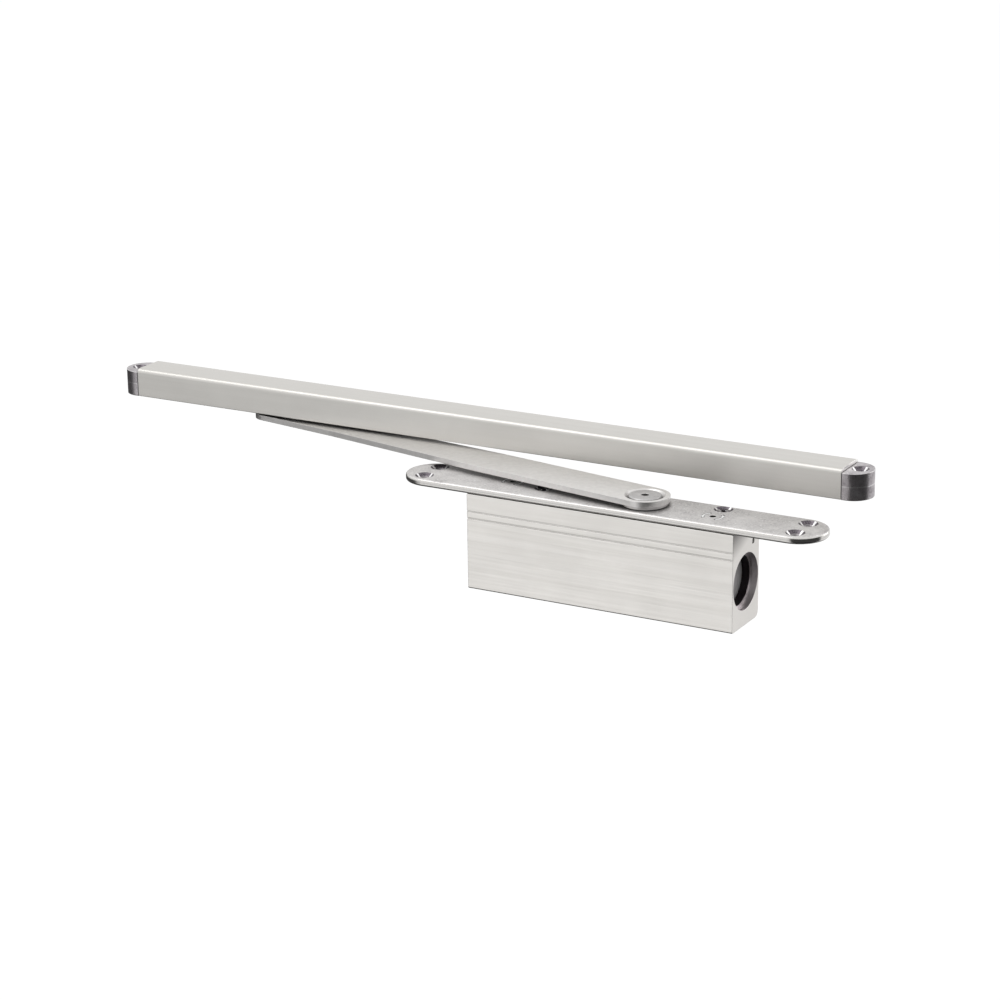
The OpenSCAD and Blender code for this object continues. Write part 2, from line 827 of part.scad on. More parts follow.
module slide_block() {
    color([0.2, 0.2, 0.21])
    on_rail()
        difference() {
            union() {
                translate([0, 0, block_bottom])
                    linear_extrude(block_top - block_bottom) block_plan();
                translate([0, 0, arm_top + free]) cylinder(r = block_neck_r, h = block_bottom - arm_top);
            }
            translate([0, 0, arm_top - past])
                cylinder(r = slider_pin_r + run, h = block_top - arm_top + 2 * past);
            translate([0, 0, block_top - block_pocket_depth])
                cylinder(r = block_pocket_r, h = block_pocket_depth + past);
        }
}

// Cross-section of the rail: a channel with a slot between two lips below
module rail_section() {
    difference() {
        translate([-rail_w / 2, rail_bottom]) square([rail_w, rail_h]);
        for (side = [0, 1])
            mirror([side, 0]) {
                translate([-rail_w / 2, rail_bottom]) corner_cut(rail_foot_r);
                translate([-rail_w / 2, rail_top_z]) mirror([0, 1]) corner_cut(rail_edge_r);
            }
        translate([-channel_w / 2, channel_floor]) square([channel_w, channel_top - channel_floor]);
        translate([-slot_w / 2, rail_bottom - past]) square([slot_w, lip_t + 2 * past]);
    }
}

module rail_profile() {
    color([0.8, 0.8, 0.78])
    on_rail()
        translate([rail_start, 0, 0]) rotate([90, 0, 90]) linear_extrude(rail_l) rail_section();
}

// Plan of an end cap: a short straight stretch and a round end
module cap_plan() {
    intersection() {
        union() {
            translate([0, -cap_round_r]) square([cap_straight, rail_w]);
            translate([cap_straight, 0]) circle(r = cap_round_r);
        }
        translate([cap_seam, -rail_w]) square(2 * rail_w);
    }
}

// An end cap with its tongue, for a rail that ends at x = 0
module rail_cap() {
    cap_h = channel_top - rail_bottom;
    difference() {
        union() {
            translate([0, 0, rail_bottom]) linear_extrude(cap_h) cap_plan();
            translate([-tongue_l, -channel_w / 2 + tongue_gap, channel_floor + tongue_gap])
                cube([
                    tongue_l + 2 * cap_seam,
                    channel_w - 2 * tongue_gap,
                    channel_top - channel_floor - 2 * tongue_gap
                ]);
        }
        translate([cap_hole_s, 0, rail_bottom]) {
            countersunk_hole(cap_hole_d / 2, cap_countersink_d / 2, cap_h);
            translate([0, 0, cap_h])
                mirror([0, 0, 1])
                    countersunk_hole(cap_hole_d / 2, cap_countersink_d / 2, cap_h);
        }
    }
}

module rail_cap_hinge_end() {
    color([0.42, 0.41, 0.43])
    on_rail() translate([rail_end, 0, 0]) rail_cap();
}

module rail_cap_latch_end() {
    color([0.42, 0.41, 0.43])
    on_rail() translate([rail_start, 0, 0]) mirror([1, 0, 0]) rail_cap();
}

// Slot for the cam and a roller, open towards +x, measured from the roller's axis
module fork_slot(roller_x) {
    slot_h = cam_t + 2 * slot_side;
    translate([roller_x - fork_depth, -bore_r - past, bore_z - slot_h / 2])
        cube([fork_depth + fork_nose + past, bore_d + 2 * past, slot_h]);
    translate([roller_x, 0, bore_z - bore_r]) cylinder(r = roller_pin_r + seat, h = bore_d);
}

// Space of a check valve, from a ball's seat on the left to the open end at x
module check_valve_space(x, reach) {
    bore_cylinder(x - retainer_t, x + past, retainer_r + seat);
    bore_cylinder(x - retainer_t - check_chamber_l, x, check_chamber_r);
    bore_cylinder(x - retainer_t - check_chamber_l - reach, x - retainer_t, seat_hole_r);
}

// A check valve's ball on its seat, where the open end lies at x
module check_ball(x) {
    translate([x - retainer_t - check_chamber_l + ball_seat + ball_r, 0, bore_z]) sphere(r = ball_r);
}

// The slotted disc that keeps a check valve's ball, with its face at x
module check_retainer(x) {
    difference() {
        bore_cylinder(x - retainer_t, x, retainer_r);
        bore_cylinder(x - retainer_t - past, x + past, seat_hole_r);
        for (turn = [0, 90])
            along_bore(x - retainer_t - past)
                rotate(turn)
                    translate([-check_chamber_r, -retainer_slot_w / 2, 0])
                        cube([2 * check_chamber_r, retainer_slot_w, retainer_t + 2 * past]);
    }
}

module spring_piston() {
    color([0.6, 0.6, 0.62])
    difference() {
        union() {
            bore_cylinder(spring_piston_back, spring_roller_x + fork_nose, piston_r);
            bore_cylinder(spring_piston_back - guide_l, spring_piston_back + past, guide_r);
        }
        fork_slot(spring_roller_x);
        mirror([1, 0, 0]) check_valve_space(guide_l - spring_piston_back, spring_piston_l + guide_l);
    }
}

module spring_check_ball() {
    color([0.85, 0.85, 0.87])
    mirror([1, 0, 0]) check_ball(guide_l - spring_piston_back);
}

module spring_check_retainer() {
    color([0.75, 0.68, 0.45])
    mirror([1, 0, 0]) check_retainer(guide_l - spring_piston_back);
}

// A roller that turns on its pin
module roller(x) {
    translate([x, 0, bore_z - roller_t / 2]) ring(roller_r, roller_pin_r + run, roller_t);
}

// A roller's pin, held in both cheeks of a fork
module roller_pin(x) {
    translate([x, 0, bore_z - pin_reach]) cylinder(r = roller_pin_r, h = 2 * pin_reach);
}

module spring_roller() {
    color([0.78, 0.78, 0.8])
    roller(spring_roller_x);
}

module spring_roller_pin() {
    color([0.7, 0.7, 0.72])
    roller_pin(spring_roller_x);
}

module damping_piston() {
    color([0.6, 0.6, 0.62])
    difference() {
        bore_cylinder(damping_roller_x - fork_nose, damping_piston_back, piston_r);
        translate([2 * damping_roller_x, 0, 0]) mirror([1, 0, 0]) fork_slot(damping_roller_x);
        bore_cylinder(pocket_x, damping_piston_back + past, pocket_r);
        check_valve_space(pocket_x, damping_piston_l - pocket_depth);
        along_bore(seal_groove_x) ring(bore_d, piston_r - seal_groove_depth, seal_groove_w);
    }
}

module damping_roller() {
    color([0.78, 0.78, 0.8])
    roller(damping_roller_x);
}

module damping_roller_pin() {
    color([0.7, 0.7, 0.72])
    roller_pin(damping_roller_x);
}

module piston_seal() {
    color([0.15, 0.15, 0.16])
    along_bore(seal_groove_x + seat)
        ring(piston_r, piston_r - seal_groove_depth + seat, seal_groove_w - 2 * seat);
}

module damping_check_ball() {
    color([0.85, 0.85, 0.87])
    check_ball(pocket_x);
}

module damping_check_retainer() {
    color([0.75, 0.68, 0.45])
    check_retainer(pocket_x);
}

module closing_spring_outer() {
    color([0.45, 0.45, 0.47])
    coil("closing_spring_outer", pressure_plate_x + pressure_plate_t, spring_piston_back,
        outer_coil_r, outer_wire_d / 2, outer_turns);
}

module closing_spring_inner() {
    color([0.45, 0.45, 0.47])
    coil("closing_spring_inner", pressure_plate_x + pressure_plate_t, spring_piston_back,
        inner_coil_r, inner_wire_d / 2, inner_turns);
}

module return_spring() {
    color([0.6, 0.6, 0.62])
    coil("return_spring", pocket_x, plug_inner_x, return_coil_r, return_wire_d / 2, return_turns);
}

module pressure_plate() {
    color([0.55, 0.55, 0.57])
    along_bore(pressure_plate_x) ring(pressure_plate_r, adjuster_r + run, pressure_plate_t);
}

module adjusting_screw() {
    color([0.62, 0.62, 0.64])
    difference() {
        union() {
            bore_cylinder(-plug_face_x, adjuster_end_x, adjuster_r);
            bore_cylinder(-plug_inner_x + seat, -plug_inner_x + adjuster_collar_t, adjuster_collar_r);
        }
        along_bore(adjuster_seal_x - adjuster_seal_wire - seat)
            ring(adjuster_r + past, adjuster_r - adjuster_seal_wire, 2 * adjuster_seal_wire + 2 * seat);
        along_bore(-plug_face_x) rotate([180, 0, 0]) key_socket(valve_key, socket_depth);
    }
}

module adjuster_seal() {
    seal_r = adjuster_seal_wire / 2;
    color([0.1, 0.1, 0.1])
    along_bore(adjuster_seal_x) seal_ring(adjuster_r - seal_r + run, seal_r - run);
}

// An end plug on the +x side: a threaded disc with a seal groove and two spanner holes
module end_plug() {
    difference() {
        bore_cylinder(plug_inner_x, plug_face_x, bore_r - seat);
        along_bore(plug_seal_x - plug_groove_w / 2) ring(bore_d, plug_groove_r, plug_groove_w);
        for (side = [-1, 1])
            cylinder_x(plug_face_x - spanner_depth, plug_face_x + past, 0,
                bore_z + side * spanner_hole_r, spanner_hole_d / 2);
    }
}

// The seal ring of an end plug on the +x side
module plug_seal() {
    along_bore(plug_seal_x) seal_ring(plug_groove_r + seat + plug_seal_r, plug_seal_r);
}

module spring_end_plug() {
    color([0.55, 0.55, 0.56])
    difference() {
        mirror([1, 0, 0]) end_plug();
        bore_cylinder(-plug_face_x - past, -plug_inner_x + past, adjuster_r + run);
    }
}

module spring_plug_seal() {
    color([0.1, 0.1, 0.1])
    mirror([1, 0, 0]) plug_seal();
}

module damper_end_plug() {
    color([0.55, 0.55, 0.56])
    end_plug();
}

module damper_plug_seal() {
    color([0.1, 0.1, 0.1])
    plug_seal();
}

// A valve screw with its key socket, seal groove and needle, standing on the Z axis
module valve_screw() {
    groove_top = valve_top - valve_thread_l;
    land_top = groove_top - valve_groove_w;
    difference() {
        union() {
            translate([0, 0, groove_top]) cylinder(r = valve_r, h = valve_thread_l);
            translate([0, 0, land_top - past / 2])
                cylinder(r = valve_r - valve_groove_depth, h = valve_groove_w + past);
            translate([0, 0, land_top - valve_land]) cylinder(r = valve_r, h = valve_land);
            translate([0, 0, needle_tip]) cylinder(r = needle_r, h = land_top - needle_tip);
        }
        translate([0, 0, valve_top]) key_socket(valve_key, socket_depth);
    }
}

// The seal ring in a valve screw's groove
module valve_seal() {
    translate([0, 0, valve_top - valve_thread_l - valve_groove_w / 2])
        seal_ring(valve_r - valve_seal_wire, valve_seal_wire);
}

// Places what follows on a valve's axis: side 1 closes, side -1 backchecks
module at_valve(side) {
    translate([side * valve_x, -side * valve_y, 0]) children();
}

module closing_speed_valve() {
    color([0.5, 0.5, 0.52])
    at_valve(1) valve_screw();
}

module closing_valve_seal() {
    color([0.1, 0.1, 0.1])
    at_valve(1) valve_seal();
}

module backcheck_valve() {
    color([0.5, 0.5, 0.52])
    at_valve(-1) valve_screw();
}

module backcheck_valve_seal() {
    color([0.1, 0.1, 0.1])
    at_valve(-1) valve_seal();
}

// Pressed plugs that close the drilled oil channels at the ends and the rear of the body
module channel_plugs() {
    plug_r = channel_r - seat;
    color([0.45, 0.45, 0.46])
    for (side = [0, 1])
        mirror([side, 0, 0]) {
            cylinder_x(body_l / 2 - channel_plug_sink - channel_plug_l, body_l / 2 - channel_plug_sink,
                channel_y, -channel_depth, plug_r);
            translate([valve_x, body_w / 2 - channel_plug_sink, -channel_depth])
                rotate([90, 0, 0]) cylinder(r = plug_r, h = channel_plug_l);
        }
}

housing();
mounting_plate();
plate_screws();
bearing_cap();
shaft_seal();
upper_bearing_cup();
upper_bearing_needles();
lower_bearing_cup();
lower_bearing_needles();
cam_spindle();
arm();
axle_screw();
slider_pin();
retaining_ring();
slide_block();
rail_profile();
rail_cap_hinge_end();
rail_cap_latch_end();
spring_piston();
spring_roller();
spring_roller_pin();
spring_check_ball();
spring_check_retainer();
damping_piston();
damping_roller();
damping_roller_pin();
piston_seal();
damping_check_ball();
damping_check_retainer();
closing_spring_outer();
closing_spring_inner();
return_spring();
pressure_plate();
adjusting_screw();
adjuster_seal();
spring_end_plug();
spring_plug_seal();
damper_end_plug();
damper_plug_seal();
closing_speed_valve();
closing_valve_seal();
backcheck_valve();
backcheck_valve_seal();
channel_plugs();
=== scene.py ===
"""Looks of a concealed door closer: slim body, round-ended plate, flat arm and slide rail."""

import logging
import math
from dataclasses import dataclass
from enum import Enum
from typing import Any

import bpy
import numpy as np
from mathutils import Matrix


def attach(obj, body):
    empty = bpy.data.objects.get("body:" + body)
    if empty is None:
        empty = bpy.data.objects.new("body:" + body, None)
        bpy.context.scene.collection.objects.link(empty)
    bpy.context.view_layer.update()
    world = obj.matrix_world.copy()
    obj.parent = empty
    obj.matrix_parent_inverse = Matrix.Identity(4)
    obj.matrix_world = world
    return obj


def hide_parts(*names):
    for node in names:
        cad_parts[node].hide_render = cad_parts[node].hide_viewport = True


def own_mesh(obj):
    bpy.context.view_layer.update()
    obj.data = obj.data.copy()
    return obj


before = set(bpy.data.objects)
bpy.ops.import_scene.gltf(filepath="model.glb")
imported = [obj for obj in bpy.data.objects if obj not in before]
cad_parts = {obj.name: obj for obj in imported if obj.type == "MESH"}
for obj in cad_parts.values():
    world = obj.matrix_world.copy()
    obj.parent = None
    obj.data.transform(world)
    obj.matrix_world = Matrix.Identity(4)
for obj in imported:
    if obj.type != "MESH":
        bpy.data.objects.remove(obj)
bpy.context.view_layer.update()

LOG = logging.getLogger("door_closer")
Colour = tuple[float, float, float]
Point = tuple[float, float, float]

# Places in the frame, in metres, that several finishes share.
HALF_WIDTH = 0.016
BORE_Z = -0.0293
BORE_AXIS: Point = (0.0, 0.0, BORE_Z)
SPINDLE_AXIS: Point = (0.02, 0.0, 0.0)
SLIDER_AXIS: Point = (-0.2396315, 0.0449862, 0.0)
CHANNEL_AXIS: Point = (0.0, 0.0087, -0.01)
CAP_HOLES: tuple[Point, Point] = ((0.12071, 0.04499, 0.0), (-0.33329, 0.04499, 0.0))
CAP_MIDDLE_Z = 0.0174
CAP_HOLE_R = 0.0046
PLATE_HOLE: Point = (0.108, 0.00825, 0.0)
BODY_SCREWS: tuple[Point, Point] = ((0.06, 0.01, 0.0), (-0.0395, 0.0, 0.0))
PLATE_FLOOR_Z = 0.0004
PLATE_HOLE_R = 0.00505
VALVES: tuple[Point, Point] = ((0.06, -0.003, 0.0), (-0.06, 0.003, 0.0))


class Grain(Enum):
    """Which way a surface was finished."""

    BRUSHED = "brushed"
    SATIN = "satin"
    CAST = "cast"
    TURNED = "turned"


class Axis(Enum):
    """The axis that a turned surface was made about."""

    X = "x"
    Z = "z"


# ---------------------------------------------------------------- shader groups

FLOAT = "NodeSocketFloat"
VECTOR = "NodeSocketVector"
# The values between which a noise texture's fine grain mostly lies.
GRAIN_LOW, GRAIN_HIGH = 0.28, 0.72


class Graph:
    """Adds nodes to one node tree and joins their sockets."""

    def __init__(self, tree: bpy.types.NodeTree) -> None:
        """Starts on an existing node tree."""
        self.tree = tree

    def node(
        self, kind: str, inputs: dict[Any, Any] | None = None, **settings: Any
    ) -> bpy.types.Node:
        """Adds a node.

        Args:
            kind: The node's type name in Blender.
            inputs: Socket name or number to a plain value, or to an output socket to join.
            settings: Attributes of the node itself.

        Returns:
            The new node.
        """
        made = self.tree.nodes.new(kind)
        for name, value in settings.items():
            setattr(made, name, value)
        for socket, value in (inputs or {}).items():
            if isinstance(value, bpy.types.NodeSocket):
                self.tree.links.new(value, made.inputs[socket])
            else:
                made.inputs[socket].default_value = value
        return made

    def group(self, tree: bpy.types.NodeTree, inputs: dict[str, Any] | None = None) -> Any:
        """Adds one of the shared groups with its inputs and returns the node."""
        return self.node("ShaderNodeGroup", inputs, node_tree=tree)

    def send(self, target: bpy.types.Node, values: dict[str, bpy.types.NodeSocket]) -> None:
        """Joins sockets to a node's named inputs."""
        for name, value in values.items():
            self.tree.links.new(value, target.inputs[name])

    def place(self) -> Any:
        """Adds a Texture Coordinate node and returns the object's own coordinates."""
        return self.node("ShaderNodeTexCoord").outputs["Object"]

    def math(self, operation: str, a: Any, b: Any = 0.0, clamp: bool = False) -> Any:
        """Adds a Math node on one or two values and returns its result."""
        made = self.node("ShaderNodeMath", {0: a, 1: b}, operation=operation, use_clamp=clamp)
        return made.outputs[0]

    def product(self, *values: Any) -> Any:
        """Multiplies values in turn and returns the result."""
        result = values[0]
        for value in values[1:]:
            result = self.math("MULTIPLY", result, value)
        return result

    def away(self, a: Any, b: Any) -> Any:
        """Returns how far two values are apart."""
        return self.math("ABSOLUTE", self.math("SUBTRACT", a, b))

    def length(self, vector: Any) -> Any:
        """Adds a Vector Math node and returns a vector's length."""
        return self.vector("LENGTH", vector, (0.0, 0.0, 0.0)).outputs["Value"]

    def dot(self, a: Any, b: Any) -> Any:
        """Adds a Vector Math node and returns the dot product of two vectors."""
        return self.vector("DOT_PRODUCT", a, b).outputs["Value"]

    def vector(self, operation: str, a: Any, b: Any) -> bpy.types.Node:
        """Adds a Vector Math node on two vectors and returns the node."""
        return self.node("ShaderNodeVectorMath", {0: a, 1: b}, operation=operation)

    def noise(self, vector: Any, scale: Any, detail: float = 3.0, rough: float = 0.5) -> Any:
        """Adds a Noise Texture and returns its value, about 0.3 to 0.7."""
        made = self.node(
            "ShaderNodeTexNoise",
            {"Vector": vector, "Scale": scale, "Detail": detail, "Roughness": rough},
        )
        return made.outputs["Fac"]

    def spread(self, value: Any, low: Any, high: Any, to_low: Any = 0.0, to_high: Any = 1.0) -> Any:
        """Maps low..high to to_low..to_high, clamped, and returns the result."""
        limits = {"From Min": low, "From Max": high, "To Min": to_low, "To Max": to_high}
        made = self.node("ShaderNodeMapRange", {"Value": value, **limits}, clamp=True)
        return made.outputs["Result"]

    def bump(self, strength: float, distance: float, height: Any, normal: Any) -> Any:
        """Adds a Bump node over a normal and returns the new normal."""
        values = {"Strength": strength, "Distance": distance, "Height": height, "Normal": normal}
        return self.node("ShaderNodeBump", values).outputs[0]

    def mix(self, share: Any, a: Any, b: Any) -> Any:
        """Adds a colour Mix node and returns its result."""
        made = self.node("ShaderNodeMix", data_type="RGBA")
        for socket, value in ((made.inputs[0], share), (made.inputs[6], a), (made.inputs[7], b)):
            if isinstance(value, bpy.types.NodeSocket):
                self.tree.links.new(value, socket)
            else:
                socket.default_value = value if socket is made.inputs[0] else (*value, 1.0)[:4]
        return made.outputs[2]


class Groups:
    """The shader node groups that several finishes share, each made once."""

    def __init__(self) -> None:
        """Makes all groups."""
        self.brushed = self._brushed()
        self.grit = self._grit()
        self.turned = self._turned()
        self.edge = self._edge()
        self.crevice = self._crevice()
        self.marks = self._marks()
        self.facing = self._facing()
        self.cone = self._cone()
        self.bore = self._bore()
        self.arrows = self._arrows()

    @staticmethod
    def _new(
        name: str, inputs: dict[str, float | Point], outputs: tuple[str, ...], kind: str = FLOAT
    ) -> tuple[Graph, Any, Any]:
        """Starts a group.

        Args:
            name: The group's name.
            inputs: Names of its float or vector inputs, with their defaults.
            outputs: Names of its outputs; the first is a float.
            kind: The socket type of the outputs after the first.

        Returns:
            The graph, the group input node and the group output node.
        """
        tree = bpy.data.node_groups.new(name, "ShaderNodeTree")
        for label, value in inputs.items():
            given = VECTOR if isinstance(value, tuple) else FLOAT
            socket = tree.interface.new_socket(label, in_out="INPUT", socket_type=given)
            socket.default_value = value
        for label in outputs:
            sent = FLOAT if label == outputs[0] else kind
            tree.interface.new_socket(label, in_out="OUTPUT", socket_type=sent)
        graph = Graph(tree)
        return graph, graph.node("NodeGroupInput"), graph.node("NodeGroupOutput")

    def _brushed(self) -> bpy.types.NodeTree:
        """Grain drawn out along X: fine lines, and wider bands of tone."""
        graph, given, out = self._new(
            "brushed_grain",
            {"Along": 12.0, "Across": 2600.0},
            ("Grain", "Band"),
        )
        place = graph.place()
        pull = graph.node(
            "ShaderNodeCombineXYZ",
            {0: given.outputs["Along"], 1: given.outputs["Across"], 2: given.outputs["Across"]},
        )
        drawn = graph.vector("MULTIPLY", place, pull.outputs[0]).outputs[0]
        fine = graph.noise(drawn, 1.0, 4.0, 0.65)
        wide = graph.noise(drawn, 0.09, 3.0, 0.55)
        graph.send(out, {
            "Grain": graph.spread(fine, GRAIN_LOW, GRAIN_HIGH),
            "Band": graph.spread(wide, 0.3, 0.7),
        })
        return graph.tree

    def _grit(self) -> bpy.types.NodeTree:
        """Even grit, slow mottling and sparse bright or dark specks."""
        graph, given, out = self._new(
            "surface_grit",
            {"Scale": 1800.0, "Mottle Scale": 70.0, "Speck Scale": 500.0, "Speck Share": 0.02},
            ("Grit", "Mottle", "Specks"),
        )
        place = graph.place()
        grit = graph.noise(place, given.outputs["Scale"], 3.0, 0.6)
        mottle = graph.noise(place, given.outputs["Mottle Scale"], 4.0, 0.6)
        cells = graph.node(
            "ShaderNodeTexVoronoi", {"Vector": place, "Scale": given.outputs["Speck Scale"]}
        )
        dot = graph.spread(cells.outputs["Distance"], 0.1, 0.28, 1.0, 0.0)
        pick = graph.node("ShaderNodeSeparateColor", {0: cells.outputs["Color"]}).outputs[0]
        chosen = graph.math("LESS_THAN", pick, given.outputs["Speck Share"])
        graph.send(out, {
            "Grit": graph.spread(grit, GRAIN_LOW, GRAIN_HIGH),
            "Mottle": graph.spread(mottle, 0.3, 0.7),
            "Specks": graph.product(dot, chosen),
        })
        return graph.tree

    def _turned(self) -> bpy.types.NodeTree:
        """Rings about an axis: noise of the distance from it, and of the place along it."""
        graph, given, out = self._new(
            "turned_rings",
            {"Centre": (0.0, 0.0, 0.0), "Cross": (0.0, 1.0, 1.0), "Scale": 2400.0},
            ("Grain", "Band"),
        )
        place = graph.place()
        offset = graph.vector("SUBTRACT", place, given.outputs["Centre"]).outputs[0]
        flat = graph.vector("MULTIPLY", offset, given.outputs["Cross"]).outputs[0]
        radius = graph.length(flat)
        rest = graph.vector("SUBTRACT", offset, flat).outputs[0]
        along = graph.dot(rest, (1.0, 1.0, 1.0))
        line = graph.math("ADD", radius, along)
        ring = graph.node("ShaderNodeCombineXYZ", {0: line}).outputs[0]
        fine = graph.noise(ring, given.outputs["Scale"], 3.0, 0.6)
        wide = graph.noise(ring, graph.product(given.outputs["Scale"], 0.15), 2.0)
        graph.send(out, {
            "Grain": graph.spread(fine, GRAIN_LOW, GRAIN_HIGH),
            "Band": graph.spread(wide, 0.3, 0.7),
        })
        return graph.tree

    def _edge(self) -> bpy.types.NodeTree:
        """Mask of wear and painted edge light: an edge is where a rounded normal leaves the flat
        one; a slow noise breaks it up.
        """
        graph, given, out = self._new(
            "edge_wear_and_painted_light",
            {"Radius": 0.0005, "Gain": 6.0, "Break": 0.4},
            ("Mask", "Normal"),
            VECTOR,
        )
        bevel = graph.node("ShaderNodeBevel", {"Radius": given.outputs["Radius"]}, samples=8)
        flat = graph.node("ShaderNodeNewGeometry").outputs["Normal"]
        same = graph.dot(bevel.outputs[0], flat)
        turned = graph.math("SUBTRACT", 1.0, same)
        place = graph.place()
        patch = graph.spread(graph.noise(place, 90.0, 3.0), 0.35, 0.65)
        kept = graph.math("SUBTRACT", 1.0, graph.product(patch, given.outputs["Break"]))
        lit = graph.product(turned, given.outputs["Gain"])
        graph.send(out, {
            "Mask": graph.math("MULTIPLY", lit, kept, clamp=True),
            "Normal": bevel.outputs[0],
        })
        return graph.tree

    def _crevice(self) -> bpy.types.NodeTree:
        """Painted shade that gathers in grooves, seams and corners, found by ambient occlusion."""
        graph, given, out = self._new(
            "crevice_shade", {"Distance": 0.003, "Gain": 1.0}, ("Mask",)
        )
        reach = {"Distance": given.outputs["Distance"]}
        near = graph.node("ShaderNodeAmbientOcclusion", reach, samples=8)
        shut = graph.math("SUBTRACT", 1.0, near.outputs["AO"])
        lit = graph.math("MULTIPLY", shut, given.outputs["Gain"], clamp=True)
        graph.send(out, {"Mask": lit})
        return graph.tree

    def _marks(self) -> bpy.types.NodeTree:
        """Fine crossing scratches and soft smudges from handling."""
        graph, given, out = self._new(
            "handling_marks",
            {"Scale": 60.0, "Share": 0.5},
            ("Scratch", "Smudge"),
        )
        place = graph.place()
        lines = []
        for turn in (0.4, -0.9):
            spun = graph.node("ShaderNodeMapping", {"Vector": place, "Rotation": (0.3, 0.2, turn)})
            drawn = graph.vector("MULTIPLY", spun.outputs[0], (1.0, 26.0, 9.0)).outputs[0]
            value = graph.noise(drawn, given.outputs["Scale"], 1.0, 0.4)
            lines.append(graph.spread(graph.away(value, 0.5), 0.0, 0.006, 1.0, 0.0))
        wider = graph.product(given.outputs["Scale"], 0.7)
        where = graph.spread(graph.noise(place, wider), 0.5, 0.62)
        both = graph.math("MAXIMUM", lines[0], lines[1])
        kept = graph.product(both, where, given.outputs["Share"])
        smudge = graph.noise(place, graph.product(given.outputs["Scale"], 0.35), 4.0, 0.65)
        graph.send(out, {"Scratch": kept, "Smudge": graph.spread(smudge, 0.35, 0.68)})
        return graph.tree

    def _facing(self) -> bpy.types.NodeTree:
        """How far a face looks along an axis, either way, and how far it looks down."""
        graph, given, out = self._new(
            "facing_share",
            {"Axis": (0.0, 0.0, 1.0), "Low": 0.55, "High": 0.8},
            ("Mask", "Down"),
        )
        normal = graph.node("ShaderNodeTexCoord").outputs["Normal"]
        along = graph.dot(normal, given.outputs["Axis"])
        either = graph.math("ABSOLUTE", along)
        mask = graph.spread(either, given.outputs["Low"], given.outputs["High"])
        height = graph.dot(normal, (0.0, 0.0, -1.0))
        graph.send(out, {"Mask": mask, "Down": graph.spread(height, 0.1, 0.75)})
        return graph.tree

    def _cone(self) -> bpy.types.NodeTree:
        """Turned countersinks: inside a radius about a centre, a painted reflection toned by the
        angle round the hole.

        Share is how far a wall lies to the sides of the direction (-0.47, 0.88): 0 on it, 1 square
        to it. A bright fan of painted highlight lies where the share is between 0.7 and 0.9, and a
        dark grainy fan of painted shade elsewhere. Fold repeats the countersink on the other sides
        of both axes, turned alike.
        """
        graph, given, out = self._new(
            "countersink_painted_reflection",
            {"Centre": (0.0, 0.0, 0.0), "Radius": 0.005, "Floor": 0.0004, "Fold": 0.0},
            ("Mask", "Sweep", "Grain"),
        )
        place = graph.place()
        apart = graph.node("ShaderNodeSeparateXYZ", {0: place})
        offset = self._folded(graph, apart, given.outputs["Centre"], given.outputs["Fold"])
        radius = graph.length(offset)
        within = graph.math("LESS_THAN", radius, given.outputs["Radius"])
        above = graph.math("GREATER_THAN", apart.outputs["Z"], given.outputs["Floor"])
        side = graph.math("ABSOLUTE", graph.dot(offset, (0.881, 0.473, 0.0)))
        share = graph.math("DIVIDE", side, graph.math("MAXIMUM", radius, 0.0001))
        grain = graph.noise(place, 1500.0, 2.0)
        blurred = graph.math("ADD", share, graph.spread(grain, 0.3, 0.7, -0.04, 0.04))
        fan = graph.product(
            graph.spread(blurred, 0.68, 0.74), graph.spread(blurred, 0.88, 0.93, 1.0, 0.0)
        )
        graph.send(out, {
            "Mask": graph.product(within, above),
            "Sweep": fan,
            "Grain": graph.spread(grain, 0.35, 0.65),
        })
        return graph.tree

    @staticmethod
    def _folded(graph: Graph, apart: bpy.types.Node, centre: Any, fold: Any) -> Any:
        """The place seen from a centre, flat on the XY plane.

        Args:
            graph: The group's graph.
            apart: A Separate XYZ node of the place.
            centre: The centre's socket.
            fold: Value or socket; 1 gives the centre the signs of the place, and 0 leaves it.

        Returns:
            The offset's socket.
        """
        signs = []
        for axis in ("X", "Y"):
            turn = graph.math("SUBTRACT", graph.math("SIGN", apart.outputs[axis]), 1.0)
            signs.append(graph.math("ADD", 1.0, graph.product(turn, fold)))
        side = graph.node("ShaderNodeCombineXYZ", {0: signs[0], 1: signs[1]}).outputs[0]
        middle = graph.vector("MULTIPLY", centre, side).outputs[0]
        flat = graph.node(
            "ShaderNodeCombineXYZ", {0: apart.outputs["X"], 1: apart.outputs["Y"]}
        ).outputs[0]
        return graph.vector("SUBTRACT", flat, middle).outputs[0]

    def _bore(self) -> bpy.types.NodeTree:
        """Round a bore along X: 1 inside its mouth, and 1 deeper in, inside its thread."""
        graph, given, out = self._new(
            "bore_shade",
            {"Height": BORE_Z, "Mouth": 0.01525, "Thread": 0.01365},
            ("Mouth", "Thread"),
        )
        place = graph.place()
        apart = graph.node("ShaderNodeSeparateXYZ", {0: place})
        up = graph.math("SUBTRACT", apart.outputs["Z"], given.outputs["Height"])
        flat = graph.node("ShaderNodeCombineXYZ", {0: apart.outputs["Y"], 1: up}).outputs[0]
        radius = graph.length(flat)
        graph.send(out, {
            "Mouth": graph.math("LESS_THAN", radius, given.outputs["Mouth"]),
            "Thread": graph.math("LESS_THAN", radius, given.outputs["Thread"]),
        })
        return graph.tree

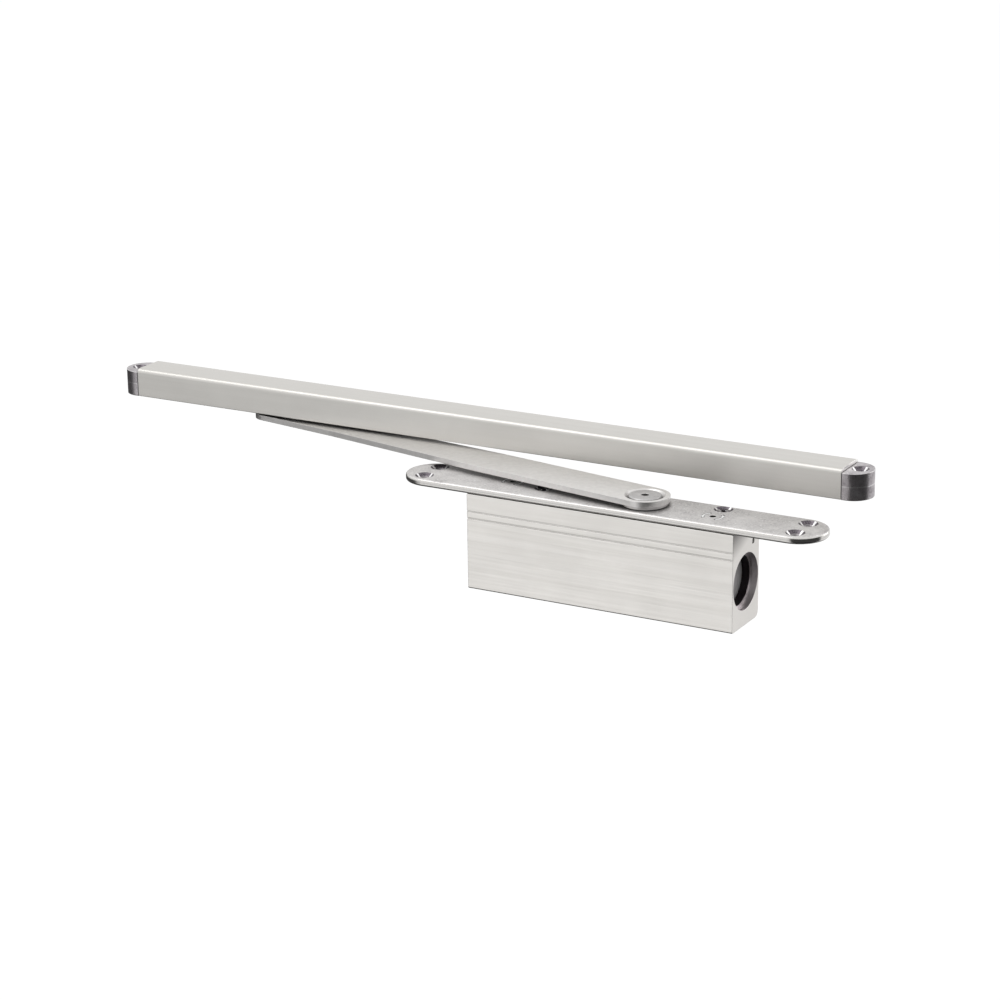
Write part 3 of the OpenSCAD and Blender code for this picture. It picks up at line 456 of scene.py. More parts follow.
    def _arrows(self) -> bpy.types.NodeTree:
        """Two turning arrows round a centre: arcs of a ring, each ending in a narrowing head.

        The angle round the centre is taken twice over half a turn, so that both arrows are alike.
        """
        graph, given, out = self._new(
            "turning_arrows",
            {"Centre": (0.0, 0.0, 0.0), "Radius": 0.0052, "Width": 0.0005, "Height": 0.0039},
            ("Mask", "Rim"),
        )
        place = graph.place()
        apart = graph.node("ShaderNodeSeparateXYZ", {0: place})
        offset = self._folded(graph, apart, given.outputs["Centre"], 0.0)
        radius = graph.length(offset)
        parts = graph.node("ShaderNodeSeparateXYZ", {0: offset})
        angle = graph.math("ARCTAN2", parts.outputs["Y"], parts.outputs["X"])
        half = graph.math("FLOORED_MODULO", graph.math("ADD", angle, 1.3), math.pi)
        off = graph.away(radius, given.outputs["Radius"])
        arc = graph.product(
            graph.math("LESS_THAN", off, given.outputs["Width"]),
            graph.math("LESS_THAN", graph.away(half, 1.0), 0.6),
        )
        reach = graph.spread(half, 1.55, 2.1, 0.0011, 0.0)
        head = graph.product(
            graph.math("LESS_THAN", off, reach), graph.math("GREATER_THAN", half, 1.55)
        )
        top = graph.math("GREATER_THAN", apart.outputs["Z"], given.outputs["Height"])
        wide = graph.math("ADD", given.outputs["Width"], 0.0004)
        near = graph.product(
            graph.math("LESS_THAN", off, wide),
            graph.math("LESS_THAN", graph.away(half, 1.2), 0.9),
        )
        graph.send(out, {
            "Mask": graph.product(graph.math("MAXIMUM", arc, head), top),
            "Rim": graph.product(near, top),
        })
        return graph.tree


# ---------------------------------------------------------------- finishes

ARROW_TONE: Colour = (1.0, 1.0, 1.0)
SHADE_TONE: Colour = (0.12, 0.11, 0.11)


@dataclass(frozen=True)
class CountersinkReflection:
    """A countersink's place, and the bright and dark fans of its painted reflection."""

    centre: Point
    radius: float
    floor: float
    fold: bool = False
    # Painted highlight in the bright fan; painted shade in the dark fan and, deeper, in the hole.
    light: Colour = (0.95, 0.94, 0.94)
    dark: Colour = (0.21, 0.19, 0.21)
    deep: Colour = (0.07, 0.06, 0.07)


@dataclass(frozen=True)
class MetalFinish:
    """A metal surface: its two tones, grain, wear, painted light and shade, and how rough it is."""

    name: str
    light: Colour
    dark: Colour
    grain: Grain
    rough: tuple[float, float] = (0.3, 0.42)
    bump: float = 0.00002
    along: float = 12.0
    across: float = 2600.0
    mottle_scale: float = 70.0
    mottle: float = 0.3
    grain_share: float = 0.35
    speck_share: float = 0.0
    speck_scale: float = 500.0
    speck_tone: Colour = (0.9, 0.9, 0.9)
    edge_tone: Colour = (0.95, 0.95, 0.94)
    edge_radius: float = 0.0005
    edge_gain: float = 5.0
    edge_share: float = 0.6
    crevice_tone: Colour = (0.12, 0.12, 0.12)
    crevice_distance: float = 0.003
    crevice_share: float = 0.4
    scratches: float = 0.15
    metallic: float = 1.0
    centre: Point = (0.0, 0.0, 0.0)
    axis: Axis = Axis.X
    other_tone: Colour | None = None
    other_axis: Point = (0.0, 0.0, 1.0)
    other_is_square: bool = True
    other_rough: float = 0.3
    underside_shade_tone: Colour | None = None
    cones: tuple[CountersinkReflection, ...] = ()
    parting_height: float | None = None
    bore_tones: tuple[Colour, Colour] | None = None
    overhang_shade: float = 0.0
    arrows: tuple[Point, ...] = ()
    rim_line: float | None = None

    def build(self, groups: Groups) -> bpy.types.Material:
        """Makes the material.

        Args:
            groups: The shared shader groups.

        Returns:
            The material, with the finish's name.
        """
        made = bpy.data.materials.new(self.name)
        made.use_nodes = True
        graph = Graph(made.node_tree)
        shader = made.node_tree.nodes["Principled BSDF"]
        grain, band = self._grain(graph, groups)
        grit = graph.group(groups.grit, {
            "Mottle Scale": self.mottle_scale,
            "Speck Scale": self.speck_scale,
            "Speck Share": self.speck_share,
        })
        tone = graph.mix(band, self.dark, self.light)
        tone = graph.mix(graph.product(grit.outputs["Mottle"], self.mottle), tone, self.dark)
        tone = graph.mix(graph.product(grain, self.grain_share), tone, self.light)
        if self.speck_share > 0.0:
            tone = graph.mix(grit.outputs["Specks"], tone, self.speck_tone)
        other = None
        # The second tone on faces picked by axis; on the rail's end faces it is a painted
        # highlight.
        if self.other_tone is not None:
            other = self._other(graph, groups)
            other_face_tone = graph.mix(graph.product(grain, 0.25), self.other_tone, self.dark)
            tone = graph.mix(other, tone, other_face_tone)
        marks = graph.group(groups.marks, {"Share": self.scratches})
        tone = graph.mix(marks.outputs["Scratch"], tone, self.edge_tone)
        # Painted shade: the crevice tone goes where ambient occlusion finds grooves, seams, corners
        # and gaps under parts.
        hollow = {"Distance": self.crevice_distance, "Gain": self.crevice_share}
        shade = graph.group(groups.crevice, hollow)
        tone = graph.mix(shade.outputs["Mask"], tone, self.crevice_tone)
        # Painted edge light, partly wear: rounded edges take the edge tone, a painted highlight
        # where lighter and painted shade where darker, not in crevices.
        edge = graph.group(groups.edge, {"Radius": self.edge_radius, "Gain": self.edge_gain})
        outer = graph.math("SUBTRACT", 1.0, shade.outputs["Mask"])
        lit = graph.product(edge.outputs["Mask"], self.edge_share, outer)
        tone = graph.mix(lit, tone, self.edge_tone)
        # Painted shade: faces that look down take the darker underside tone.
        if self.underside_shade_tone is not None:
            under = graph.group(groups.facing)
            tone = graph.mix(under.outputs["Down"], tone, self.underside_shade_tone)
        for cone in self.cones:
            tone = self._cone(graph, groups, cone, tone)
        if self.parting_height is not None:
            tone = self._level_line(graph, tone, self.parting_height, self.edge_tone, 0.00015)
        if self.rim_line is not None:
            tone = self._level_line(graph, tone, self.rim_line, self.dark, 0.00004)
        if self.bore_tones is not None:
            tone = self._bore(graph, groups, tone)
        for centre in self.arrows:
            drawn = graph.group(groups.arrows, {"Centre": centre})
            tone = graph.mix(graph.product(drawn.outputs["Rim"], 0.8), tone, self.crevice_tone)
            tone = graph.mix(drawn.outputs["Mask"], tone, ARROW_TONE)
        worn = graph.spread(grain, 0.0, 1.0, self.rough[1], self.rough[0])
        if other is not None:
            worn = graph.spread(other, 0.0, 1.0, worn, self.other_rough)
        smudged = graph.product(marks.outputs["Smudge"], 0.06)
        relief = graph.bump(0.5, self.bump, grain, edge.outputs["Normal"])
        rough = graph.math("ADD", worn, smudged)
        graph.send(shader, {"Base Color": tone, "Roughness": rough, "Normal": relief})
        shader.inputs["Metallic"].default_value = self.metallic
        return made

    def _other(self, graph: Graph, groups: Groups) -> Any:
        """The share of the second tone, on the faces square to an axis or on all the rest.

        Args:
            graph: The material's graph.
            groups: The shared shader groups.

        Returns:
            The share's socket.
        """
        facing = graph.group(groups.facing, {"Axis": self.other_axis})
        mask = facing.outputs["Mask"]
        return mask if self.other_is_square else graph.math("SUBTRACT", 1.0, mask)

    @staticmethod
    def _cone(graph: Graph, groups: Groups, cone: CountersinkReflection, tone: Any) -> Any:
        """Lays a countersink's painted reflection fans over a tone.

        Args:
            graph: The material's graph.
            groups: The shared shader groups.
            cone: The countersink.
            tone: The tone so far.

        Returns:
            The new tone.
        """
        made = graph.group(groups.cone, {
            "Centre": cone.centre,
            "Radius": cone.radius,
            "Floor": cone.floor,
            "Fold": 1.0 if cone.fold else 0.0,
        })
        rough = graph.mix(made.outputs["Grain"], cone.deep, cone.dark)
        fan = graph.mix(made.outputs["Sweep"], rough, cone.light)
        return graph.mix(made.outputs["Mask"], tone, fan)

    @staticmethod
    def _level_line(
        graph: Graph, tone: Any, level: float, line_tone: Colour, wander: float
    ) -> Any:
        """Draws a thin level line, such as the one where two halves of a casting mould met.

        Args:
            graph: The material's graph.
            tone: The tone so far.
            level: The line's height in metres.
            line_tone: The line's tone.
            wander: How far the line strays up and down, in metres.

        Returns:
            The new tone.
        """
        place = graph.place()
        height = graph.node("ShaderNodeSeparateXYZ", {0: place}).outputs["Z"]
        stray = graph.spread(graph.noise(place, 260.0), 0.3, 0.7, -wander, wander)
        away = graph.math("SUBTRACT", graph.math("ADD", height, stray), level)
        line = graph.spread(graph.math("ABSOLUTE", away), 0.0001, 0.0004, 0.5, 0.0)
        return graph.mix(line, tone, line_tone)

    def _bore(self, graph: Graph, groups: Groups, tone: Any) -> Any:
        """Darkens the bore with painted shade, and the end faces a little with a painted shadow
        under the plate's overhang.

        Args:
            graph: The material's graph.
            groups: The shared shader groups.
            tone: The tone so far.

        Returns:
            The new tone.
        """
        place = graph.place()
        apart = graph.node("ShaderNodeSeparateXYZ", {0: place})
        facing = graph.group(groups.facing, {"Axis": (1.0, 0.0, 0.0)})
        # Painted shadow of the plate's overhang, reaching further down towards the front.
        inward = graph.product(graph.math("ADD", apart.outputs["Y"], HALF_WIDTH), 0.35)
        slanted = graph.math("SUBTRACT", apart.outputs["Z"], inward)
        shade = graph.spread(slanted, -0.0145, -0.002, 0.0, self.overhang_shade)
        tone = graph.mix(graph.product(shade, facing.outputs["Mask"]), tone, SHADE_TONE)
        # Painted shade in the bore: a darker mouth, and near black deeper in, in the thread.
        bore = graph.group(groups.bore)
        tone = graph.mix(bore.outputs["Mouth"], tone, self.bore_tones[0])
        return graph.mix(bore.outputs["Thread"], tone, self.bore_tones[1])

    def _grain(self, graph: Graph, groups: Groups) -> tuple[Any, Any]:
        """The finish's own pattern.

        Args:
            graph: The material's graph.
            groups: The shared shader groups.

        Returns:
            Two sockets: the fine grain, and the wider bands.
        """
        if self.grain is Grain.BRUSHED:
            made = graph.group(groups.brushed, {"Along": self.along, "Across": self.across})
            return made.outputs["Grain"], made.outputs["Band"]
        if self.grain is Grain.TURNED:
            cross = (0, 1, 1) if self.axis is Axis.X else (1, 1, 0)
            made = graph.group(groups.turned, {"Centre": self.centre, "Cross": cross})
            return made.outputs["Grain"], made.outputs["Band"]
        scales = {"Scale": self.across, "Mottle Scale": self.across * 0.12}
        made = graph.group(groups.grit, scales)
        return made.outputs["Grit"], made.outputs["Mottle"]


@dataclass(frozen=True)
class MouldedFinish:
    """A moulded plastic or rubber surface."""

    name: str
    light: Colour
    dark: Colour
    rough: tuple[float, float] = (0.45, 0.6)
    scale: float = 1500.0
    bump: float = 0.00004

    def build(self, groups: Groups) -> bpy.types.Material:
        """Makes the material.

        Args:
            groups: The shared shader groups.

        Returns:
            The material, with the finish's name.
        """
        made = bpy.data.materials.new(self.name)
        made.use_nodes = True
        graph = Graph(made.node_tree)
        shader = made.node_tree.nodes["Principled BSDF"]
        grit = graph.group(groups.grit, {"Scale": self.scale})
        edge = graph.group(groups.edge, {"Radius": 0.0004})
        tone = graph.mix(grit.outputs["Mottle"], self.dark, self.light)
        # Painted highlight: edges lean towards the light tone.
        tone = graph.mix(graph.product(edge.outputs["Mask"], 0.4), tone, self.light)
        fine = grit.outputs["Grit"]
        relief = graph.bump(0.6, self.bump, fine, edge.outputs["Normal"])
        worn = graph.spread(fine, 0.0, 1.0, self.rough[1], self.rough[0])
        graph.send(shader, {"Base Color": tone, "Roughness": worn, "Normal": relief})
        return made


# ---------------------------------------------------------------- meshes


def mesh_piece(
    name: str, points: np.ndarray, faces: np.ndarray, smooth: bool = True
) -> bpy.types.Object:
    """Puts finished arrays into a new object at the origin.

    Args:
        name: The piece's name.
        points: Vertices in metres, one row each.
        faces: Vertex numbers, four to a row.
        smooth: Whether the faces shade smoothly.

    Returns:
        The new object, linked to the scene.
    """
    mesh = bpy.data.meshes.new(name)
    mesh.from_pydata(points.tolist(), [], faces.tolist())
    mesh.polygons.foreach_set("use_smooth", np.full(len(mesh.polygons), smooth))
    mesh.update()
    made = bpy.data.objects.new(name, mesh)
    bpy.context.scene.collection.objects.link(made)
    return made


def tube_faces(rows: int, columns: int) -> np.ndarray:
    """Quads of a tube whose vertex (i, j) is number i * columns + j, closed round its columns."""
    i, j = np.meshgrid(np.arange(rows - 1), np.arange(columns), indexing="ij")
    here, there = i * columns + j, i * columns + (j + 1) % columns
    quads = np.stack([here, there, there + columns, here + columns], axis=-1)
    return quads.reshape(-1, 4)


@dataclass
class Coil:
    """A round-wire spring: a circle carried along a helix about an axis parallel to X."""

    name: str
    start: float
    end: float
    mean_radius: float
    wire: float
    turns: float
    height: float
    around: int = 14
    per_turn: int = 40

    def build(self) -> bpy.types.Object:
        """Makes the wire.

        The centre line is (x, r cos a, h + r sin a) with a = 2 pi turns t. Its pitch is small in
        the end turns, so that they lie closed, and even between them. The wire's circle stands on
        the radial direction and on the one square to it and to the line. Both ends close with a
        fan of triangles.
        """
        steps = int(self.turns * self.per_turn)
        t = np.linspace(0.0, 1.0, steps + 1)
        a = 2.0 * math.pi * self.turns * t
        ends = 0.75 / self.turns
        bends = [0.0, ends, 2 * ends, 1 - 2 * ends, 1 - ends, 1.0]
        slope = np.interp(t, bends, [0.35, 0.5, 1, 1, 0.5, 0.35])
        run = np.concatenate([[0.0], np.cumsum((slope[1:] + slope[:-1]) / 2)])
        x = self.start + self.wire / 2 + (self.end - self.start - self.wire) * run / run[-1]
        y, z = self.mean_radius * np.cos(a), self.height + self.mean_radius * np.sin(a)
        centre = np.stack([x, y, z], axis=1)
        line = np.gradient(centre, axis=0)
        line /= np.linalg.norm(line, axis=1, keepdims=True)
        out = np.stack([np.zeros_like(a), np.cos(a), np.sin(a)], axis=1)
        side = np.cross(line, out)
        ring = np.linspace(0.0, 2.0 * math.pi, self.around, endpoint=False)[None, :, None]
        circle = np.cos(ring) * out[:, None, :] + np.sin(ring) * side[:, None, :]
        tube = centre[:, None, :] + self.wire / 2 * circle
        points = np.concatenate([tube.reshape(-1, 3), centre[:1], centre[-1:]])
        quads = tube_faces(steps + 1, self.around)
        made = mesh_piece(self.name, points, quads)
        close_fan(made, 0, self.around, len(points) - 2, flip=True)
        close_fan(made, steps * self.around, self.around, len(points) - 1, flip=False)
        return made


def close_fan(piece: bpy.types.Object, first: int, count: int, hub: int, flip: bool) -> None:
    """Closes a ring of vertices with triangles to its hub.

    Args:
        piece: The object whose mesh gets them.
        first: The ring's first vertex.
        count: How many vertices the ring has.
        hub: The vertex in its middle.
        flip: Whether the triangles run the other way round.
    """
    ring = first + np.arange(count)
    following = first + (np.arange(count) + 1) % count
    pair = [following, ring] if flip else [ring, following]
    fan = np.stack([*pair, np.full(count, hub)], axis=1)
    mesh = piece.data
    points = np.empty(len(mesh.vertices) * 3)
    mesh.vertices.foreach_get("co", points)
    faces = [tuple(face.vertices) for face in mesh.polygons] + fan.tolist()
    mesh.clear_geometry()
    mesh.from_pydata(points.reshape(-1, 3).tolist(), [], faces)
    mesh.polygons.foreach_set("use_smooth", np.ones(len(mesh.polygons), dtype=bool))
    mesh.update()


# ---------------------------------------------------------------- sub-assemblies


def dress(finish: bpy.types.Material, *nodes: str) -> None:
    """Puts a material on every slot of the named CAD nodes and reports them."""
    for name in nodes:
        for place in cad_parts[name].material_slots:
            place.material = finish
        LOG.info("dressed %s in %s", name, finish.name)


@dataclass
class SlideRail:
    """The rail profile and its two cast end caps."""

    # On the rail, the other tone on the end faces is a painted highlight, and the underside tone
    # painted shade.
    profile: MetalFinish = MetalFinish(
        "anodised_rail", (0.68, 0.665, 0.635), (0.64, 0.625, 0.595), Grain.BRUSHED,
        rough=(0.32, 0.4), along=9.0, across=2200.0, mottle=0.12, edge_tone=(0.85, 0.84, 0.82),
        edge_radius=0.0003, edge_gain=4.0, edge_share=0.3, crevice_tone=(0.06, 0.055, 0.055),
        crevice_distance=0.0015, crevice_share=0.5, scratches=0.03, underside_shade_tone=(0.45, 0.44, 0.42),
        other_tone=(0.95, 0.94, 0.92), other_axis=(1.0, 0.0, 0.0),
    )
    # The caps' edges take a painted highlight, their crevices painted shade, and their countersinks
    # painted reflection fans.
    casting: MetalFinish = MetalFinish(
        "cast_cap", (0.68, 0.65, 0.665), (0.2, 0.18, 0.195), Grain.CAST,
        rough=(0.24, 0.34), across=900.0, grain_share=0.5, bump=0.00006,
        edge_tone=(0.9, 0.89, 0.89), edge_radius=0.0007, edge_gain=6.0, edge_share=0.9,
        crevice_tone=(0.03, 0.025, 0.03), crevice_share=1.0, crevice_distance=0.002,
        scratches=0.1, parting_height=CAP_MIDDLE_Z,
        speck_share=0.1, speck_scale=700.0, speck_tone=(0.8, 0.79, 0.8),
        cones=tuple(CountersinkReflection(hole, CAP_HOLE_R, CAP_MIDDLE_Z) for hole in CAP_HOLES),
    )

    def dress(self, groups: Groups) -> None:
        """Dresses the rail and the caps."""
        dress(self.profile.build(groups), "rail_profile")
        dress(self.casting.build(groups), "rail_cap_hinge_end", "rail_cap_latch_end")


@dataclass
class ArmAndSlider:
    """The flat arm, its axle screw, and the slider on its far end."""

    # The arm's edge tone is darker than the arm: painted shade along its edges.
    arm: MetalFinish = MetalFinish(
        "satin_arm", (0.86, 0.845, 0.83), (0.76, 0.745, 0.73), Grain.SATIN,
        rough=(0.32, 0.42), across=3000.0, bump=0.00003, edge_tone=(0.72, 0.71, 0.69),
        edge_radius=0.0002, edge_share=0.3, crevice_tone=(0.05, 0.045, 0.05),
        crevice_share=0.5, scratches=0.05, mottle=0.2,
    )
    axle: MetalFinish = MetalFinish(
        "axle_head", (0.66, 0.65, 0.65), (0.42, 0.41, 0.415), Grain.SATIN,
        rough=(0.28, 0.4), across=1600.0, grain_share=0.6, edge_radius=0.0004, crevice_share=0.6,
    )
    pin: MetalFinish = MetalFinish(
        "slider_pin_steel", (0.55, 0.55, 0.55), (0.4, 0.4, 0.4), Grain.TURNED,
        centre=SLIDER_AXIS, axis=Axis.Z,
    )
    ring: MetalFinish = MetalFinish("ring_steel", (0.3, 0.3, 0.31), (0.2, 0.2, 0.21), Grain.SATIN)
    block: MouldedFinish = MouldedFinish(
        "slide_block_plastic", (0.09, 0.09, 0.095), (0.055, 0.055, 0.06)
    )

    def dress(self, groups: Groups) -> None:
        """Dresses the arm, the screw, the pin, its ring and the block."""
        dress(self.arm.build(groups), "arm")
        dress(self.axle.build(groups), "axle_screw")
        dress(self.pin.build(groups), "slider_pin")
        dress(self.ring.build(groups), "retaining_ring")
        dress(self.block.build(groups), "slide_block")


@dataclass
class CloserBody:
    """The body, its plate, plugs, valves and seals."""

    extrusion: MetalFinish = MetalFinish(
        "brushed_body", (0.96, 0.935, 0.9), (0.89, 0.865, 0.825), Grain.BRUSHED,
        rough=(0.28, 0.4), along=14.0, across=2400.0, mottle=0.15, edge_tone=(0.97, 0.96, 0.95),
        edge_radius=0.0003, edge_gain=4.0, edge_share=0.6, crevice_tone=(0.1, 0.095, 0.09),
        crevice_distance=0.0011, crevice_share=0.7, scratches=0.03,
        other_tone=(0.72, 0.7, 0.675), other_axis=(1.0, 0.0, 0.0), other_rough=0.4,
        # Painted shade and shadow: the underside tone, the overhang shade under the plate, and the
        # bore tones.
        underside_shade_tone=(0.4, 0.39, 0.38), overhang_shade=0.83,
        bore_tones=((0.75, 0.71, 0.72), (0.03, 0.025, 0.028)),
    )
    # On the plate, the crevice tone at full share is painted shade under the arm; the countersink
    # fans are painted reflections.
    plate: MetalFinish = MetalFinish(
        "plated_plate", (0.8, 0.785, 0.775), (0.42, 0.405, 0.405), Grain.SATIN,
        rough=(0.4, 0.5), across=950.0, mottle_scale=400.0, mottle=0.3, grain_share=0.9,
        speck_share=0.25, speck_scale=480.0, edge_tone=(0.95, 0.94, 0.93), edge_radius=0.0003,
        edge_share=0.4, crevice_tone=(0.06, 0.055, 0.06), crevice_share=1.0,
        crevice_distance=0.0025, other_tone=(0.7, 0.685, 0.66), other_is_square=False,
        other_rough=0.14, rim_line=0.0021, arrows=VALVES,
        cones=(
            CountersinkReflection(PLATE_HOLE, PLATE_HOLE_R, PLATE_FLOOR_Z, fold=True),
            *(CountersinkReflection(hole, PLATE_HOLE_R, PLATE_FLOOR_Z) for hole in BODY_SCREWS),
        ),
    )
    # The screw heads carry the countersinks' painted reflection fans.
    screws: MetalFinish = MetalFinish(
        "plated_screws", (0.34, 0.33, 0.35), (0.2, 0.19, 0.21), Grain.TURNED, axis=Axis.Z,
        crevice_share=0.6, edge_radius=0.0003,
        cones=tuple(CountersinkReflection(hole, PLATE_HOLE_R, PLATE_FLOOR_Z) for hole in BODY_SCREWS),
    )
    pins: MetalFinish = MetalFinish(
        "channel_pins", (0.95, 0.94, 0.93), (0.85, 0.84, 0.83), Grain.TURNED, metallic=0.2,
        centre=CHANNEL_AXIS, rough=(0.15, 0.25), crevice_share=0.3, crevice_distance=0.0005,
    )
    plugs: MetalFinish = MetalFinish(
        "turned_plugs", (0.72, 0.71, 0.71), (0.56, 0.55, 0.55), Grain.TURNED, metallic=0.3,
        centre=BORE_AXIS, crevice_share=0.6, edge_radius=0.0004,
    )
    inner: MetalFinish = MetalFinish(
        "inner_steel", (0.5, 0.5, 0.5), (0.36, 0.36, 0.36), Grain.SATIN
    )
    seal: MouldedFinish = MouldedFinish(
        "seal_rubber", (0.03, 0.03, 0.03), (0.018, 0.018, 0.018), rough=(0.5, 0.65)
    )

    def dress(self, groups: Groups) -> None:
        """Dresses every node of the body."""
        dress(self.extrusion.build(groups), "housing")
        dress(self.plate.build(groups), "mounting_plate")
        dress(self.screws.build(groups), "plate_screws", "closing_speed_valve", "backcheck_valve")
        dress(self.pins.build(groups), "channel_plugs")
        dress(self.plugs.build(groups), "spring_end_plug", "damper_end_plug", "adjusting_screw")
        dress(self.inner.build(groups), "bearing_cap", "pressure_plate")
        dress(
            self.seal.build(groups), "shaft_seal", "adjuster_seal", "spring_plug_seal",
            "damper_plug_seal", "closing_valve_seal", "backcheck_valve_seal", "piston_seal",
        )


@dataclass
class SpindleDrive:
    """The spindle with its cam, the bearings, the pistons and their rollers."""

    spindle: MetalFinish = MetalFinish(
        "hardened_spindle", (0.45, 0.44, 0.43), (0.3, 0.29, 0.28), Grain.TURNED,
        centre=SPINDLE_AXIS, axis=Axis.Z, rough=(0.2, 0.32),
    )
    bearing: MetalFinish = MetalFinish(
        "bearing_steel", (0.6, 0.6, 0.6), (0.48, 0.48, 0.48), Grain.TURNED,
        centre=SPINDLE_AXIS, axis=Axis.Z, rough=(0.15, 0.25),
    )
    piston: MetalFinish = MetalFinish(
        "piston_steel", (0.42, 0.42, 0.43), (0.3, 0.3, 0.31), Grain.TURNED,
        centre=BORE_AXIS, rough=(0.22, 0.34),
    )
    brass: MetalFinish = MetalFinish(
        "retainer_brass", (0.62, 0.45, 0.2), (0.5, 0.35, 0.14), Grain.TURNED, centre=BORE_AXIS,
    )

    def dress(self, groups: Groups) -> None:
        """Dresses the moving parts inside the body."""
        dress(self.spindle.build(groups), "cam_spindle")
        dress(
            self.bearing.build(groups), "upper_bearing_cup", "upper_bearing_needles",
            "lower_bearing_cup", "lower_bearing_needles", "spring_roller", "damping_roller",
            "spring_check_ball", "damping_check_ball", "spring_roller_pin", "damping_roller_pin",
        )
        dress(self.piston.build(groups), "spring_piston", "damping_piston")
        dress(self.brass.build(groups), "spring_check_retainer", "damping_check_retainer")


@dataclass
class ClosingSprings:
    """The three coil springs in the bore."""

    axis_z: float = BORE_Z
    outer: tuple[float, float, float] = (0.0108, 0.0038, 5.0)
    inner: tuple[float, float, float] = (0.0061, 0.0024, 7.0)
    back: tuple[float, float, float] = (0.0074, 0.0012, 4.0)
    closing_ends: tuple[float, float] = (-0.0525, -0.01395)
    back_ends: tuple[float, float] = (0.05122, 0.0632)
    shortest: float = 0.835
    finish: MetalFinish = MetalFinish(
        "spring_wire", (0.2, 0.2, 0.21), (0.12, 0.12, 0.125), Grain.SATIN, rough=(0.25, 0.4),
        across=2600.0, edge_share=0.0,
    )

    def build(self, groups: Groups) -> None:
        """Makes the coils, which stand for the CAD coils, and gives the closing ones meshes of
        their own.
        """
        material = self.finish.build(groups)
        plan = (
            ("closing_spring_outer", self.outer, self.closing_ends),
            ("closing_spring_inner", self.inner, self.closing_ends),
            ("return_spring", self.back, self.back_ends),
        )
        for name, (radius, wire, turns), (start, end) in plan:
            coil = Coil(name + "_coil", start, end, radius, wire, turns, self.axis_z).build()
            coil.data.materials.append(material)
            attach(coil, "closer_body")
            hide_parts(name)
            if name.startswith("closing"):
                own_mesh(coil)
            LOG.info("built %s", coil.name)


# ---------------------------------------------------------------- studio


@dataclass(frozen=True)
class TentGap:
    """A darker part of the surround: azimuths from the front towards the right, in radians."""

    start: float
    end: float
    level: float
    top: float
    soft: float = math.radians(6.0)


@dataclass(frozen=True)
class Lamp:
    """An area lamp that looks at the object's middle; place and size in metres, power in watts."""

    name: str
    place: Point
    size: tuple[float, float]
    power: float


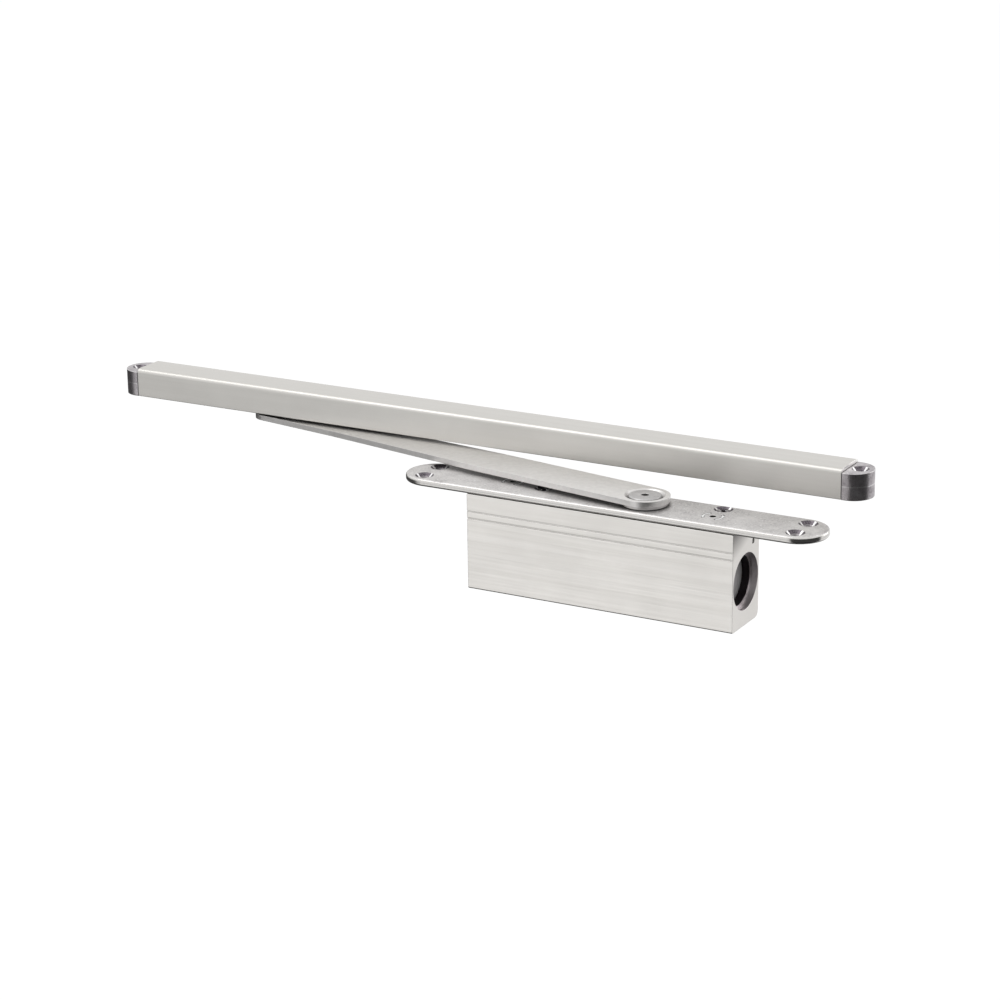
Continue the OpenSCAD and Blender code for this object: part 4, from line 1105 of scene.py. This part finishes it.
@dataclass
class Studio:
    """Camera, lamps, world and floor."""

    place: Point = (0.63369, -1.23864, 0.44736)
    turn: Point = (math.radians(72.3097), math.radians(0.7351), math.radians(29.2377))
    lens: float = 100.76
    far: float = 200.0
    lamps: tuple[Lamp, Lamp] = (
        Lamp("key_lamp", (-0.85, -0.5, 1.6), (1.3, 1.05), 6.0),
        Lamp("side_lamp", (1.2, 1.5, 0.6), (1.0, 1.0), 4.0),
    )
    floor_z: float = -0.30
    floor_half: float = 30.0
    floor_tone: float = 0.3
    floor_glow: float = 0.8
    soft_level: float = 0.7
    sky_level: float = 0.95
    sky_heights: tuple[float, float] = (0.45, 0.75)
    ground_level: float = 0.3
    ground_heights: tuple[float, float] = (-0.8, -0.42)
    gaps: tuple[TentGap, ...] = (
        TentGap(math.radians(-7.0), math.radians(112.0), 0.06, 0.25, math.radians(6.0)),
        TentGap(math.radians(-146.0), math.radians(-46.0), 0.08, -0.02, math.radians(12.0)),
    )

    def camera(self) -> None:
        """Camera at the photograph's viewing angle, without shift."""
        data = bpy.data.cameras.new("camera")
        data.lens = self.lens
        data.sensor_width = 36.0
        data.clip_end = self.far
        made = bpy.data.objects.new("camera", data)
        made.location = self.place
        made.rotation_euler = self.turn
        bpy.context.scene.collection.objects.link(made)
        bpy.context.scene.camera = made

    def world(self) -> None:
        """A white surround for camera and transmission rays, and a softer grey light for the rest.

        Glossy rays see the same white surround with the gaps of a photographer's tent in it: a
        dark one on the viewer's side, a grey one at the left, and greyer light above and below.
        Each gap is a product of smooth steps of the direction's azimuth and height.
        """
        made = bpy.data.worlds.new("studio_world")
        made.use_nodes = True
        bpy.context.scene.world = made
        graph = Graph(made.node_tree)
        graph.tree.nodes.clear()
        rays = graph.node("ShaderNodeLightPath")
        way = graph.node("ShaderNodeTexCoord").outputs["Generated"]
        apart = graph.node("ShaderNodeSeparateXYZ", {0: way})
        round_angle = graph.math(
            "ARCTAN2", apart.outputs["X"], graph.product(apart.outputs["Y"], -1.0)
        )
        height = apart.outputs["Z"]
        value: Any = 1.0
        for gap in self.gaps:
            inside = graph.math(
                "MULTIPLY",
                graph.spread(round_angle, gap.start - gap.soft, gap.start + gap.soft),
                graph.spread(round_angle, gap.end - gap.soft, gap.end + gap.soft, 1.0, 0.0),
            )
            below = graph.spread(height, gap.top, gap.top + 0.2, 1.0, 0.0)
            inside = graph.product(inside, below)
            dimmed = graph.spread(inside, 0.0, 1.0, 1.0, gap.level)
            value = graph.product(value, dimmed)
        sky = graph.spread(height, *self.sky_heights, 1.0, self.sky_level)
        ground = graph.spread(height, *self.ground_heights, self.ground_level, 1.0)
        glossy = graph.product(value, sky, ground, rays.outputs["Is Glossy Ray"])
        through = rays.outputs["Is Transmission Ray"]
        clear = graph.math("MAXIMUM", rays.outputs["Is Camera Ray"], through)
        shown = graph.math("MAXIMUM", clear, rays.outputs["Is Glossy Ray"])
        plain = graph.spread(shown, 0.0, 1.0, self.soft_level, 0.0)
        strength = graph.math("ADD", graph.math("MAXIMUM", glossy, clear), plain)
        light = graph.node("ShaderNodeBackground", {"Color": (1, 1, 1, 1), "Strength": strength})
        graph.node("ShaderNodeOutputWorld", {"Surface": light.outputs[0]})

    @staticmethod
    def hang(lamp: Lamp) -> None:
        """Adds a lamp to the scene.

        Args:
            lamp: What it is like.
        """
        data = bpy.data.lights.new(lamp.name, "AREA")
        data.shape = "RECTANGLE"
        data.size, data.size_y = lamp.size
        data.energy = lamp.power
        made = bpy.data.objects.new(lamp.name, data)
        made.location = lamp.place
        made.rotation_euler = made.location.to_track_quat("Z", "Y").to_euler()
        made.visible_camera = False
        bpy.context.scene.collection.objects.link(made)

    def floor(self) -> None:
        """A wide pale floor under the object, which stays white and keeps a faint shadow."""
        corners = self.floor_half * np.array([[-1, -1], [1, -1], [1, 1], [-1, 1]])
        points = np.column_stack([corners, np.full(4, self.floor_z)])
        made = mesh_piece("floor", points, np.array([[0, 1, 2, 3]]), smooth=False)
        material = bpy.data.materials.new("floor_paint")
        material.use_nodes = True
        graph = Graph(material.node_tree)
        graph.tree.nodes.clear()
        rays = graph.node("ShaderNodeLightPath")
        seen = graph.math("MAXIMUM", rays.outputs["Is Camera Ray"], rays.outputs["Is Glossy Ray"])
        seen = graph.math("MAXIMUM", seen, rays.outputs["Is Transmission Ray"])
        grey = (self.floor_tone, self.floor_tone, self.floor_tone, 1.0)
        paint = graph.node("ShaderNodeBsdfDiffuse", {"Color": grey})
        share = graph.product(seen, self.floor_glow)
        glow = graph.node("ShaderNodeEmission", {"Color": (1, 1, 1, 1), "Strength": share})
        both = graph.node("ShaderNodeAddShader", {0: paint.outputs[0], 1: glow.outputs[0]})
        graph.node("ShaderNodeOutputMaterial", {"Surface": both.outputs[0]})
        made.data.materials.append(material)
        made.visible_glossy = False

    def build(self) -> None:
        """Sets up the whole studio."""
        self.camera()
        self.world()
        for lamp in self.lamps:
            self.hang(lamp)
        self.floor()
        scene = bpy.context.scene
        scene.view_settings.view_transform = "Standard"
        LOG.info("built the studio")


def main() -> None:
    """Builds and dresses the sub-assemblies in order."""
    logging.basicConfig(level=logging.INFO, format="%(name)s: %(message)s")
    groups = Groups()
    Studio().build()
    CloserBody().dress(groups)
    SpindleDrive().dress(groups)
    ClosingSprings().build(groups)
    ArmAndSlider().dress(groups)
    SlideRail().dress(groups)


if __name__ == "__main__":
    main()
